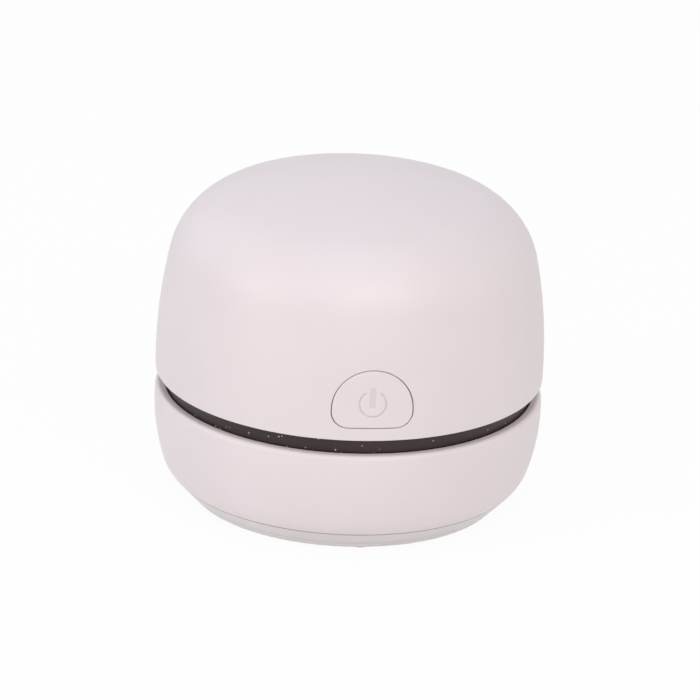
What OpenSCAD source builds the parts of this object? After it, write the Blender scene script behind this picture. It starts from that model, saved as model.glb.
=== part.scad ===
// Desktop mini vacuum cleaner: a round, cordless crumb cleaner for a desk.
// A white dome (the power head) stands on a white dust bowl. The dark wall of the fan housing shows
// in the slot between them, and that slot is also the exhaust. A D-shaped power button is in the front.
// Units are millimetres. The origin is the centre of the footprint, on the table. +Z is up, and the
// power button faces -Y. Heights are a stack: pads, base plate, dust bowl, slot, upper shell.

/* [Upper shell] */
// Largest radius of the upper shell
body_radius = 42; // [38:0.5:46]
// Height of the upper shell, from its lower edge to its crown
shell_height = 44.1; // [41:0.1:50]
// Wall of the upper shell
shell_wall = 2; // [1.6:0.1:2.4]
// Height of the widest line above the shell's lower edge
shell_waist_rise = 3.65; // [2:0.05:6]
// Radius of the long curve of the side
side_curve = 113; // [95:1:135]
// Radius of the shoulder
shoulder_curve = 17.5; // [14:0.5:21]
// Radius of the crown
crown_curve = 90.7; // [75:0.1:110]
// Chamfer round the shell's lower edge
shell_edge = 0.4; // [0.2:0.05:0.6]

/* [Dust bowl] */
// Height of the slot between the bowl and the shell
slot_height = 3.65; // [3:0.05:5]
// Height of the dust bowl, from the seam to its rim
bowl_height = 19.5; // [19:0.1:23.5]
// How much narrower the bowl is than the upper shell, on the radius
bowl_inset = 0.05; // [0:0.05:0.8]
// Height of the bowl's widest line above the seam
bowl_waist_rise = 16.5; // [15:0.1:18]
// Radius of the curve of the bowl's side
bowl_curve = 42.2; // [41:0.1:46]
// Radius of the bowl's lower corner
bowl_corner = 8.8; // [7.5:0.1:10]
// How far that corner's curve has turned under where it meets the seam, in degrees
corner_turn = 45; // [42:1:60]
// Wall and floor of the bowl
bowl_wall = 2; // [1.6:0.1:2.2]
// Width of the bowl's rim, where the fan housing goes in
rim_width = 2; // [1.6:0.05:2.3]
// Radius of the rim's outer edge
rim_round = 0.9; // [0.5:0.05:1.2]
// Wall of the inlet's chimney
chimney_wall = 1.6; // [1.2:0.1:2]
// Height of the chimney above the bowl's inner floor
chimney_height = 3.8; // [3:0.1:4.4]
// Height of the ledge that carries the filter, above the seam
ledge_rise = 11.4; // [11.2:0.05:12.5]
// Width of that ledge
ledge_width = 3.6; // [3:0.1:4.2]

/* [Base plate] */
// Height of the base plate's rim
base_height = 4.6; // [4.3:0.1:5.3]
// How far the rim draws in towards the table
base_draft = 3.95; // [3.4:0.05:4.6]
// Height of the fine groove that the seam draws under the bowl's edge
seam_groove = 0.3; // [0.15:0.05:0.4]
// Wall of the base plate's slanted rim, measured level
base_rim_wall = 2.2; // [1.8:0.1:2.6]
// Thickness of the base plate
plate_wall = 1.6; // [1.3:0.1:2]
// Chamfer round the base plate's lower edge
base_edge = 0.4; // [0.2:0.05:0.6]
// Radius of a glide pad
pad_radius = 1.8; // [1.4:0.1:2.4]
// How far the glide pads keep in from the base plate's lower edge
pad_inset = 1.6; // [1:0.1:2]
// How far a glide pad stands out of the base plate
pad_proud = 0.8; // [0.6:0.1:1.2]
// How deep a glide pad sits in its recess
pad_sunk = 0.4; // [0.3:0.05:0.6]
// Number of glide pads, and of base screws
pad_count = 4; // [3:1:5]

// Flat left between the inlet and the brush channel
inlet_margin = 3.5; // [2:0.1:5]

/* [Brush] */
// Width of a brush strip's backing
backing_width = 5.8; // [5:0.1:6.2]
// Thickness of the backing
backing_thick = 1.8; // [1.4:0.1:2]
// Width of the slot that the bristles come through
brush_slot = 4; // [3.6:0.1:4.4]
// Height of the brush channel's floor above the base plate's underside
channel_floor = 3.6; // [3.2:0.1:4]
// Number of brush strips in the ring
brush_count = 6; // [4:1:8]
// Gap between the bristle tips and the table
tip_gap = 0.2; // [0.1:0.05:0.5]
// Radius of one tuft of bristles
tuft_radius = 0.8; // [0.6:0.05:0.9]
// Distance between tufts along a row
tuft_pitch = 2.3; // [2:0.1:3]

/* [Filter] */
// Height of the filter frame
filter_height = 2.4; // [2:0.1:2.6]
// Thickness of the filter cloth
cloth_thick = 0.5; // [0.3:0.05:0.8]
// Thickness of the rubber seal over the filter
gasket_thick = 0.8; // [0.6:0.1:1.2]

/* [Fan housing] */
// Wall and floor of the fan housing
housing_wall = 1.65; // [1.3:0.05:2]
// Number of exhaust openings in the rear of the housing's wall
exhaust_count = 17; // [9:2:21]
// Width of one exhaust opening
exhaust_width = 3; // [2:0.1:4]
// Height of one exhaust opening
exhaust_height = 2.6; // [2:0.1:2.9]
// Radius of the air inlet under the fan
eye_radius = 16.5; // [14:0.5:20]
// Radius of the fan wheel
fan_radius = 27; // [24:0.5:29]
// Height of the fan wheel
fan_height = 6; // [5.5:0.1:6.2]
// Number of fan blades
blade_count = 11; // [7:1:13]

/* [Motor] */
// Radius of the motor's can
motor_radius = 12; // [10.5:0.25:12.5]
// Length of the motor's can
motor_length = 28; // [24:0.5:30]
// Sheet thickness of the can
can_wall = 0.8; // [0.6:0.1:1]
// Radius of the motor's shaft
shaft_radius = 1; // [0.8:0.05:1.2]
// Running clearance of the shaft in its bushes
shaft_clear = 0.03; // [0.02:0.01:0.06]
// Thickness of the rubber washer under the motor
damper_thick = 1; // [0.8:0.1:1.5]

/* [Battery and boards] */
// Radius of the rechargeable cell
cell_radius = 7; // [6.5:0.1:7.2]
// Length of the rechargeable cell
cell_length = 43; // [38:0.5:46]
// Length that the charging board takes up, from its front edge to the shell's clearance
board_length = 17.5; // [16:0.1:18.5]
// Thickness of the charging board
board_thick = 1; // [0.8:0.1:1.6]
// Width of the charging socket's metal shell
socket_width = 8.94; // [8.6:0.02:9.3]
// Height of the charging socket's metal shell
socket_height = 3.16; // [3:0.02:3.4]
// Depth of the charging socket
socket_depth = 7.35; // [7:0.05:8]
// Radius of a wire over its insulation
wire_radius = 0.6; // [0.4:0.05:0.7]

/* [Power button] */
// Radius of the button's round top
button_radius = 8.6; // [7.5:0.05:9.5]
// Distance from the middle of that radius down to the button's flat lower edge
button_drop = 3.95; // [3.7:0.05:4.2]
// Radius of the button's two lower corners
button_corner = 3.4; // [2.5:0.1:3.6]
// Height of the button's centre above the shell's lower edge
button_rise = 6.9; // [6.8:0.05:8]
// Gap all round the button
button_gap = 0.25; // [0.15:0.05:0.35]
// How far the button can be pressed
button_travel = 1.2; // [0.8:0.1:1.4]
// Radius of the ring of the power symbol
symbol_radius = 2.85; // [2.2:0.05:3.2]
// Depth of the power symbol
symbol_depth = 0.15; // [0.1:0.05:0.3]

/* [Screws] */
// Radius of the screws' shanks
screw_radius = 1; // [0.8:0.05:1.2]

/* [Hidden] */
$fn = 72;

SHELL_WHITE = [0.90, 0.87, 0.87];
BASE_GREY = [0.81, 0.79, 0.78];
HOUSING_GREY = [0.27, 0.24, 0.23];
INNER_GREY = [0.55, 0.55, 0.56];
STEEL = [0.72, 0.73, 0.75];
ZINC = [0.80, 0.80, 0.78];
RUBBER = [0.12, 0.12, 0.12];
BRONZE = [0.66, 0.47, 0.26];
COPPER = [0.75, 0.42, 0.25];
MAGNET_GREY = [0.22, 0.22, 0.24];
BOARD_GREEN = [0.10, 0.34, 0.20];
CELL_BLUE = [0.20, 0.42, 0.66];
NYLON_WHITE = [0.92, 0.92, 0.90];
CLOTH_WHITE = [0.93, 0.93, 0.92];
CLEAR = [0.85, 0.90, 0.95];
WIRE_RED = [0.72, 0.08, 0.08];
WIRE_BLACK = [0.08, 0.08, 0.08];

past = 1;            // how far a cut runs past the face it opens
fit = 0.1;           // gap between rigid pieces of one assembly that slip together
running_gap = 0.25;  // gap between pieces that slide past each other by hand
cover = 0.4;         // least material left over a recess or round a boss
boss_cap = 1;        // material left over a blind screw hole
tip_room = 0.5;      // room between a screw's tip and the end of its hole
board_boss_wall = 1.3;

// ---- Heights, bottom to top ----
base_z = pad_proud;
seam_z = base_z + base_height;
rim_z = seam_z + bowl_height;
shell_z = rim_z + slot_height;
top_z = shell_z + shell_height;
channel_top = base_z + channel_floor + backing_thick;
bowl_floor = channel_top + bowl_wall;
chimney_top = bowl_floor + chimney_height;
ledge_z = seam_z + ledge_rise;
gasket_z = ledge_z + filter_height;
housing_z = gasket_z + gasket_thick;
housing_floor = housing_z + housing_wall;
fan_gap = 0.75;
fan_z = housing_floor + fan_gap;
fan_top = fan_z + fan_height;
motor_plate_z = max(shell_z, fan_top) + fan_gap + 0.1;
motor_plate_thick = 1.6;
deck_z = motor_plate_z + motor_plate_thick;

// ---- The bowl's outline ----
bowl_radius = body_radius - bowl_inset;
bowl_waist_z = seam_z + bowl_waist_rise;
bowl_centre = [bowl_radius - bowl_curve, bowl_waist_z];
corner_z = seam_z + bowl_corner * sin(corner_turn);
corner_x = bowl_centre.x + sqrt((bowl_curve - bowl_corner)^2 - (bowl_waist_z - corner_z)^2);
corner_end = bearing(bowl_centre, [corner_x, corner_z]);
seam_radius = corner_x + bowl_corner * cos(corner_turn);
ledge_radius = rim_inner_radius() - ledge_width;

// ---- The shell's outline: side, shoulder and crown arcs that run smoothly into each other ----
waist_z = shell_z + shell_waist_rise;
side_centre = [body_radius - side_curve, waist_z];
crown_centre = [0, top_z - crown_curve];
shoulder_centre = upper_meeting(side_centre, side_curve - shoulder_curve,
                                crown_centre, crown_curve - shoulder_curve);
side_end = bearing(side_centre, shoulder_centre);
crown_start = bearing(crown_centre, shoulder_centre);
housing_radius = rim_inner_radius() - running_gap;
housing_inner = housing_radius - housing_wall;
collar_radius = housing_radius + fit;

// ---- Base plate and brush, from the rim inwards ----
foot_radius = seam_radius - base_draft - base_edge;
pad_place = foot_radius - pad_inset - pad_radius;
base_screw_head = 1.9;
base_screw_place = foot_radius - base_screw_head - 2 * fit - cover;
base_screw_seat = base_z + plate_wall;
bowl_boss_radius = screw_radius + 1.1;
bowl_boss_top = bowl_floor + 3;
recess_radius = base_screw_place - bowl_boss_radius - 3 * fit;
channel_wall = 1.6;
channel_outer = recess_radius - 3 * fit - channel_wall;
brush_radius = channel_outer - 2 * fit - backing_width / 2;
channel_inner = brush_radius - backing_width / 2 - 2 * fit;
inlet_radius = channel_inner - channel_wall - inlet_margin - chimney_wall;
brush_arc = 360 / brush_count - 6;
slot_arc = brush_arc - 10;

// ---- Housing, motor plate and the pieces on it ----
boss_angle = 62;
boss_radius = screw_radius + 1.6;
boss_place = housing_inner - boss_radius - 0.8;
boss_top = deck_z + 11.5;
housing_screw_head = 2.1;
housing_screw_seat = housing_floor + cover;
plate_radius = housing_radius - 2 * fit;
motor_z = deck_z + damper_thick;
motor_top = motor_z + motor_length;
front_boss_radius = 5;
bush_radius = shaft_radius + 2;
motor_screw_place = 8;
motor_screw_radius = 1.25;
motor_screw_head = 2.2;
motor_face = 1.2;
cap_thick = 1.5;
magnet_thick = 1.6;
magnet_gap = 0.6;
core_radius = motor_radius - can_wall - magnet_thick - magnet_gap;
core_z = motor_z + 6;
core_length = motor_length / 2;
commutator_radius = shaft_radius + 2;
commutator_length = 4;
terminal_place = 8;
terminal_thick = 0.5;
terminal_height = 4.5;

cell_x = motor_radius + cell_radius + 1.5;
cradle_floor = 1.4;
cell_z = deck_z + cradle_floor + 1.2 + cell_radius;
cell_end = cell_length / 2;
cradle_half = cell_radius - 1;
tab_thick = 0.3;
tab_height = cell_z + cell_radius - 1.4;
end_wall_y = cell_end + tab_thick + 0.2;
end_wall = 1.4;
cradle_screw_y = cell_end - 3.5;

socket_z = deck_z + 8;
socket_mouth = body_radius - 1;
board_top = socket_z - socket_height / 2;
board_z = board_top - board_thick;
board_half = 9.5;
board_rear = body_radius - shell_wall - 1;
board_front = board_rear - board_length;
board_screw_x = 6.6;
board_screw_y = board_front + 3;
board_screw_radius = 0.7;
led_x = 7.8;
lens_radius = 1;

button_z = shell_z + button_rise;
button_wall = 1.8;
flange = 1.2;
flange_thick = 1;
flange_depth = shell_wall + 0.3;
button_back = flange_depth + flange_thick;
stem_end = -(body_radius - button_back - 0.7);
switch_half = 4;
plunger_half = 1.5;
switch_face = stem_end + button_travel + 0.2;
switch_depth = 5.2;
switch_board_thick = 1.2;
switch_board_y = switch_face + switch_depth;
switch_board_half = 9;
switch_board_top = button_z + switch_half + 1.5;
post_width = 2.6;

// ---- Functions ----
function bearing(from, to) = atan2(to.y - from.y, to.x - from.x);
function arc(centre, radius, start, end, steps) =
    [for (i = [0:steps]) let (a = start + (end - start) * i / steps) centre + radius * [cos(a), sin(a)]];
function reversed(points) = [for (i = [len(points) - 1:-1:0]) points[i]];
// The upper of the two points where a circle round a meets a circle round b
function upper_meeting(a, radius_a, b, radius_b) =
    let (d = norm(b - a), along = (b - a) / d, t = (radius_a^2 - radius_b^2 + d^2) / (2 * d))
    a + t * along + sqrt(radius_a^2 - t^2) * [-along.y, along.x];
function rim_inner_radius() = bowl_side_radius(rim_z) - rim_width;
// Radius of the base plate's slanted side at a height
function base_side_radius(z) = foot_radius + base_edge
    + base_draft * (z - base_z - base_edge) / (base_height - base_edge);
// Radius of the bowl's outer side at a height
function bowl_side_radius(z) = bowl_centre.x + sqrt(bowl_curve^2 - (z - bowl_waist_z)^2);
// The shell's curve from height z to the crown, moved inwards by depth
function shell_curve(depth, z) = concat(
    arc(side_centre, side_curve - depth, asin((z - waist_z) / (side_curve - depth)), side_end, 7),
    arc(shoulder_centre, shoulder_curve - depth, side_end + 3, crown_start, 15),
    arc(crown_centre, crown_curve - depth, crown_start + 2.5, 90, 6));
// Radius of the shell's outside, moved inwards by depth, at a height on its side
function side_radius(depth, z) = side_centre.x + sqrt((side_curve - depth)^2 - (z - waist_z)^2);
// A D lying on its flat side, grown by a margin all round
function d_outline(grow) = concat(
    arc([0, 0], button_radius + grow, 0, 180, 36),
    arc([button_corner - button_radius, button_corner - button_drop], button_corner + grow, 180, 270, 9),
    arc([button_radius - button_corner, button_corner - button_drop], button_corner + grow, 270, 360, 9));
// A rectangle with round ends, grown by a margin all round
function slot_outline(width, height, grow) = concat(
    arc([(width - height) / 2, 0], height / 2 + grow, -90, 90, 12),
    arc([(height - width) / 2, 0], height / 2 + grow, 90, 270, 12));
function polar(radius, angle) = [radius * cos(angle), radius * sin(angle), 0];
function unit(v) = v / norm(v);
function catmull(p, i, t) =
    let (a = p[max(i - 1, 0)], b = p[i], c = p[i + 1], d = p[min(i + 2, len(p) - 1)])
    b + 0.5 * t * (c - a + t * (2 * a - 5 * b + 4 * c - d + t * (3 * (b - c) + d - a)));
function smooth_route(p, steps) =
    concat([for (i = [0:len(p) - 2], s = [0:steps - 1]) catmull(p, i, s / steps)], [p[len(p) - 1]]);
// Directions along a smoothed route, square to what it meets at its two ends
function headings(p, start, end) = concat(
    [unit(start)], [for (i = [1:len(p) - 2]) unit(p[i + 1] - p[i - 1])], [unit(end)]);
// A side direction for each point, carried along the route without twisting
function side_directions(t) =
    [for (i = 0, s = unit(cross(t[0], [0.31, 0.47, 0.83])); i < len(t);
          i = i + 1, s = unit(s - (s * t[min(i, len(t) - 1)]) * t[min(i, len(t) - 1)])) s];

// ---- Building blocks ----
module at_bosses() {
    for (side = [-1, 1], end = [-1, 1])
        translate([side * boss_place * cos(boss_angle), end * boss_place * sin(boss_angle), 0])
            rotate(bearing([0, 0], [side * cos(boss_angle), end * sin(boss_angle)])) children();
}

module round_the_base(radius, turn) {
    for (i = [0:pad_count - 1])
        translate(polar(radius, turn + 360 * i / pad_count)) children();
}

module ring(outer, inner, height) {
    linear_extrude(height) difference() {
        circle(outer);
        circle(inner);
    }
}

// A ring's arc, centred on +X
module ring_arc(outer, inner, angle, height) {
    reach = 2 * outer;
    linear_extrude(height) intersection() {
        difference() {
            circle(outer);
            circle(inner);
        }
        polygon([[0, 0], reach * [cos(angle / 2), -sin(angle / 2)], reach * [cos(angle / 2), sin(angle / 2)]]);
    }
}

// A shape drawn as seen from the front, x across and y up, and run back along +Y
module from_front(y, z, depth) {
    translate([0, y + depth, z]) rotate([90, 0, 0]) linear_extrude(depth) children();
}

// The layer of the shell's side between two depths below its outer surface
module side_layer(from_depth, to_depth) {
    function side(depth) = let (radius = side_curve - depth)
        arc(side_centre, radius, asin((shell_z + shell_edge - waist_z) / radius), side_end, 7);
    rotate_extrude() polygon(concat(side(from_depth), reversed(side(to_depth))));
}

// A screw with a round head and a cross recess, head downwards, seat at z = 0
module screw_up(head_radius, head_height, shank_radius, length) {
    recess = head_radius * 0.3;
    difference() {
        union() {
            translate([0, 0, -head_height]) cylinder(r = head_radius, h = head_height);
            cylinder(r = shank_radius, h = length);
        }
        for (turn = [0, 90])
            rotate(turn) translate([-head_radius * 0.65, -recess / 2, -head_height - past])
                cube([head_radius * 1.3, recess, head_height * 0.6 + past]);
    }
}

// A wire along a smooth route through hand-set points
module wire(route) {
    sides = 8;
    p = smooth_route(route, 3);
    final = len(route) - 1;
    t = headings(p, route[1] - route[0], route[final] - route[final - 1]);
    s = side_directions(t);
    rings = len(p);
    polyhedron(
        points = [for (i = [0:rings - 1], k = [0:sides - 1])
            p[i] + wire_radius * (cos(360 * k / sides) * s[i] + sin(360 * k / sides) * cross(t[i], s[i]))],
        faces = concat(
            [[for (k = [0:sides - 1]) k]],
            [for (i = [0:rings - 2], k = [0:sides - 1]) let (a = i * sides, b = a + sides, n = (k + 1) % sides)
                [a + k, b + k, a + n]],
            [for (i = [0:rings - 2], k = [0:sides - 1]) let (a = i * sides, b = a + sides, n = (k + 1) % sides)
                [a + n, b + k, b + n]],
            [[for (k = [sides - 1:-1:0]) (rings - 1) * sides + k]]));
}

// ---- Dust bin ----
module dust_bowl() {
    chimney_outer = inlet_radius + chimney_wall;
    inner_rim = rim_inner_radius();
    ledge_root = ledge_z - 3.2;
    step_radius = recess_radius + bowl_wall;
    floor_turn = asin((corner_z - seam_z - bowl_wall) / (bowl_corner - bowl_wall));
    section = concat(
        [[inlet_radius, channel_top], [recess_radius, channel_top], [recess_radius, seam_z]],
        arc([corner_x, corner_z], bowl_corner, -corner_turn, corner_end, 10),
        arc(bowl_centre, bowl_curve, corner_end + 2.5, asin((rim_z - rim_round - bowl_waist_z) / bowl_curve), 12),
        arc([bowl_side_radius(rim_z) - rim_round, rim_z - rim_round], rim_round, 18, 90, 5),
        [[inner_rim + 0.3, rim_z], [inner_rim, rim_z - 0.3], [inner_rim, ledge_z],
         [ledge_radius, ledge_z], [ledge_radius, ledge_z - 0.9]],
        arc(bowl_centre, bowl_curve - bowl_wall,
            asin((ledge_root - bowl_waist_z) / (bowl_curve - bowl_wall)), corner_end + 2.5, 5),
        arc([corner_x, corner_z], bowl_corner - bowl_wall, corner_end, -floor_turn, 8),
        [[step_radius, seam_z + bowl_wall], [step_radius, bowl_floor], [chimney_outer, bowl_floor],
         [chimney_outer, chimney_top], [inlet_radius, chimney_top]]);
    color(SHELL_WHITE) difference() {
        union() {
            rotate_extrude() polygon(section);
            round_the_base(base_screw_place, 45)
                translate([0, 0, seam_z + bowl_wall / 2])
                    cylinder(r = bowl_boss_radius, h = bowl_boss_top - seam_z - bowl_wall / 2);
        }
        round_the_base(base_screw_place, 45)
            translate([0, 0, seam_z - past])
                cylinder(r = screw_radius, h = bowl_boss_top - boss_cap - seam_z + past);
    }
}

module base_plate() {
    collar_outer = inlet_radius + chimney_wall;
    section = [
        [inlet_radius, base_z], [foot_radius, base_z],
        [foot_radius + base_edge, base_z + base_edge],
        [base_side_radius(seam_z - seam_groove), seam_z - seam_groove],
        [base_side_radius(seam_z - seam_groove), seam_z], [seam_radius - base_rim_wall, seam_z],
        [base_side_radius(base_screw_seat) - base_rim_wall, base_screw_seat],
        [channel_outer + channel_wall, base_screw_seat],
        [channel_outer + channel_wall, channel_top], [channel_outer, channel_top],
        [channel_outer, base_z + channel_floor], [channel_inner, base_z + channel_floor],
        [channel_inner, channel_top], [channel_inner - channel_wall, channel_top],
        [channel_inner - channel_wall, base_screw_seat], [collar_outer, base_screw_seat],
        [collar_outer, channel_top], [inlet_radius, channel_top]];
    color(BASE_GREY) difference() {
        union() {
            rotate_extrude() polygon(section);
            round_the_base(base_screw_place, 45)
                translate([0, 0, base_z + plate_wall / 2])
                    cylinder(r = base_screw_head + 1.1, h = seam_z - base_z - plate_wall / 2);
        }
        for (i = [0:brush_count - 1])
            rotate(360 * i / brush_count) translate([0, 0, base_z - past])
                ring_arc(brush_radius + brush_slot / 2, brush_radius - brush_slot / 2, slot_arc,
                         channel_floor + 2 * past);
        round_the_base(base_screw_place, 45) {
            translate([0, 0, base_z - past]) cylinder(r = base_screw_head + 2 * fit, h = plate_wall + past);
            translate([0, 0, base_z]) cylinder(r = screw_radius + fit, h = base_height + past);
        }
        round_the_base(pad_place, 0)
            translate([0, 0, base_z - past]) cylinder(r = pad_radius + fit, h = pad_sunk + past);
    }
}

module brush_strips() {
    row_offset = 1;
    backing_z = base_z + channel_floor;
    row_arc = slot_arc - 8;
    color(NYLON_WHITE) for (i = [0:brush_count - 1]) rotate(360 * i / brush_count) union() {
        translate([0, 0, backing_z])
            ring_arc(brush_radius + backing_width / 2, brush_radius - backing_width / 2, brush_arc, backing_thick);
        for (row = [-1, 1]) {
            radius = brush_radius + row * row_offset;
            step = tuft_pitch / radius * 180 / PI;
            tufts = floor(row_arc / step);
            for (k = [0:tufts])
                translate(polar(radius, (k - tufts / 2 + row / 4) * step) + [0, 0, tip_gap])
                    cylinder(r = tuft_radius, h = backing_z + backing_thick / 2 - tip_gap, $fn = 6);
        }
    }
}

module glide_pads() {
    color(NYLON_WHITE) round_the_base(pad_place, 0) cylinder(r = pad_radius, h = pad_proud + pad_sunk);
}

module base_screws() {
    color(STEEL) round_the_base(base_screw_place, 45)
        translate([0, 0, base_screw_seat])
            screw_up(base_screw_head, plate_wall - cover, screw_radius, bowl_boss_top - boss_cap - tip_room - base_screw_seat);
}

// A cap over the chimney that throws the crumbs sideways and keeps them in
module inlet_hood() {
    inside = inlet_radius + chimney_wall + fit / 2;
    hood_wall = 1.4;
    hood_gap = 0.8;
    outside = inside + hood_wall;
    lip = 0.6;
    window = 2;
    roof = 1;
    window_z = chimney_top + lip;
    color(SHELL_WHITE) difference() {
        rotate_extrude() polygon([
            [inside, bowl_floor + hood_gap], [outside, bowl_floor + hood_gap], [outside, window_z + window + roof],
            [0, window_z + window + roof], [0, window_z + window], [inlet_radius, window_z + window],
            [inlet_radius, chimney_top], [inside, chimney_top]]);
        for (turn = [0:90:270])
            rotate(turn) translate([0, 0, window_z]) ring_arc(outside + past, inlet_radius - past, 74, window);
    }
}

// ---- Filter ----
module filter_frame() {
    outside = rim_inner_radius() - running_gap - fit;
    inside = ledge_radius - 1.2;
    shelf = 0.8;
    spoke = 1.6;
    color(INNER_GREY) union() {
        translate([0, 0, ledge_z]) rotate_extrude() polygon([
            [inside, 0], [outside, 0], [outside, filter_height], [ledge_radius + 0.3, filter_height],
            [ledge_radius + 0.3, shelf], [inside, shelf]]);
        for (turn = [0:60:120])
            rotate(turn) translate([-inside - 0.5, -spoke / 2, ledge_z]) cube([2 * inside + 1, spoke, shelf]);
        translate([0, 0, ledge_z]) ring(inside / 2 + spoke / 2, inside / 2 - spoke / 2, shelf);
    }
}

module filter_cloth() {
    shelf = 0.8;
    color(CLOTH_WHITE) translate([0, 0, ledge_z + shelf]) cylinder(r = ledge_radius + 0.3 - fit, h = cloth_thick);
}

module filter_gasket() {
    color(RUBBER) translate([0, 0, gasket_z])
        ring(rim_inner_radius() - running_gap - 3 * fit, ledge_radius + 0.6, gasket_thick);
}

// ---- Power head: shells ----
module top_shell() {
    section = concat(
        [[collar_radius, shell_z], [side_radius(0, shell_z) - shell_edge, shell_z]],
        shell_curve(0, shell_z + shell_edge),
        reversed(shell_curve(shell_wall, deck_z + 0.5)),
        [[collar_radius, deck_z]]);
    gusset = 1.6;
    wall_middle = body_radius - shell_wall + cover;
    color(SHELL_WHITE) difference() {
        union() {
            rotate_extrude($fn = 144) polygon(section);
            at_bosses() {
                translate([0, 0, deck_z]) cylinder(r = boss_radius, h = boss_top - deck_z);
                translate([0, -gusset / 2, deck_z]) cube([wall_middle - boss_place, gusset, boss_top - deck_z]);
            }
        }
        from_front(-body_radius - past, button_z, body_radius / 4) polygon(d_outline(button_gap));
        from_front(body_radius - body_radius / 8, socket_z, body_radius / 8 + past)
            polygon(slot_outline(socket_width, socket_height, running_gap));
        from_front(body_radius - body_radius / 8, socket_z, body_radius / 8 + past)
            translate([led_x, 0]) circle(lens_radius + fit / 2);
        at_bosses() translate([0, 0, deck_z - past]) cylinder(r = screw_radius, h = boss_top - boss_cap - deck_z + past);
    }
}

module fan_housing() {
    exhaust_z = (rim_z + shell_z) / 2;
    exhaust_step = 180 / exhaust_count;
    color(HOUSING_GREY) difference() {
        union() {
            rotate_extrude($fn = 144) polygon([
                [eye_radius, housing_z], [housing_radius - shell_edge, housing_z],
                [housing_radius, housing_z + shell_edge], [housing_radius, motor_plate_z],
                [housing_inner, motor_plate_z], [housing_inner, housing_floor], [eye_radius, housing_floor]]);
            at_bosses() translate([0, 0, housing_floor - cover])
                cylinder(r = boss_radius, h = motor_plate_z - housing_floor + cover);
        }
        for (i = [0:exhaust_count - 1])
            rotate(90 + (i - (exhaust_count - 1) / 2) * exhaust_step)
                translate([housing_inner - past, -exhaust_width / 2, exhaust_z - exhaust_height / 2])
                    cube([housing_wall + 2 * past, exhaust_width, exhaust_height]);
        at_bosses() {
            translate([0, 0, housing_z - past])
                cylinder(r = housing_screw_head + 2 * fit, h = housing_screw_seat - housing_z + past);
            translate([0, 0, housing_z]) cylinder(r = screw_radius + 2 * fit, h = motor_plate_z - housing_z + past);
        }
    }
}

module housing_screws() {
    color(ZINC) at_bosses() translate([0, 0, housing_screw_seat])
        screw_up(housing_screw_head, housing_wall, screw_radius, boss_top - boss_cap - tip_room - housing_screw_seat);
}

module motor_plate() {
    post_height = switch_board_top - 3 - deck_z;
    color(INNER_GREY) difference() {
        union() {
            translate([0, 0, motor_plate_z]) cylinder(r = plate_radius, h = motor_plate_thick, $fn = 144);
            for (side = [-1, 1]) {
                translate([side * board_screw_x, board_screw_y, deck_z - cover])
                    cylinder(r = board_screw_radius + board_boss_wall, h = board_z - deck_z + cover);
                translate([side * (switch_board_half + 0.2) - post_width / 2,
                           switch_board_y + switch_board_thick / 2 - post_width, deck_z - cover])
                    cube([post_width, 2 * post_width, post_height + cover]);
            }
        }
        translate([-switch_board_half - fit / 2, switch_board_y - fit / 2, deck_z])
            cube([2 * switch_board_half + fit, switch_board_thick + fit, post_height + past]);
        translate([0, 0, motor_plate_z - past])
            cylinder(r = front_boss_radius + 2 * fit, h = motor_plate_thick + 2 * past);
        for (side = [-1, 1]) {
            translate([side * motor_screw_place, 0, motor_plate_z - past])
                cylinder(r = motor_screw_radius + fit, h = motor_plate_thick + 2 * past);
            translate([side * motor_screw_place, 0, motor_plate_z - past])
                cylinder(r = motor_screw_head + fit, h = 1 + past);
            translate([side * board_screw_x, board_screw_y, deck_z])
                cylinder(r = board_screw_radius, h = board_z - deck_z + past);
            translate([cell_x, side * cradle_screw_y, motor_plate_z - past])
                cylinder(r = board_screw_radius, h = motor_plate_thick + 2 * past);
        }
        at_bosses() translate([0, 0, motor_plate_z - past])
            cylinder(r = screw_radius + 2 * fit, h = motor_plate_thick + 2 * past);
    }
}

// ---- Power head: motor ----
module motor_damper() {
    color(RUBBER) translate([0, 0, deck_z]) difference() {
        ring(motor_radius - 0.5, front_boss_radius + fit, damper_thick);
        for (side = [-1, 1]) translate([side * motor_screw_place, 0, -past])
            cylinder(r = motor_screw_radius + fit, h = damper_thick + 2 * past);
    }
}

module motor_screws() {
    color(STEEL) for (side = [-1, 1])
        translate([side * motor_screw_place, 0, motor_plate_z + 1])
            screw_up(motor_screw_head, 0.9, motor_screw_radius, motor_z + motor_face + 1 - motor_plate_z - 1);
}

module motor_can() {
    boss_z = motor_plate_z + 0.6;
    color(STEEL) difference() {
        union() {
            translate([0, 0, motor_z]) cylinder(r = motor_radius, h = motor_length);
            translate([0, 0, boss_z]) cylinder(r = front_boss_radius, h = motor_z - boss_z + motor_face / 2);
        }
        translate([0, 0, motor_z + motor_face]) cylinder(r = motor_radius - can_wall, h = motor_length);
        translate([0, 0, boss_z - past]) cylinder(r = bush_radius, h = motor_z + motor_face - boss_z + 2 * past);
        for (side = [-1, 1]) translate([side * motor_screw_place, 0, motor_z - past])
            cylinder(r = motor_screw_radius, h = motor_face + 2 * past);
    }
}

module motor_magnets() {
    outside = motor_radius - can_wall;
    split = 7;
    color(MAGNET_GREY) translate([0, 0, core_z - 1]) difference() {
        ring(outside, outside - magnet_thick, core_length + 2);
        translate([-split / 2, -motor_radius, -past]) cube([split, 2 * motor_radius, core_length + 2 + 2 * past]);
    }
}

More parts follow.
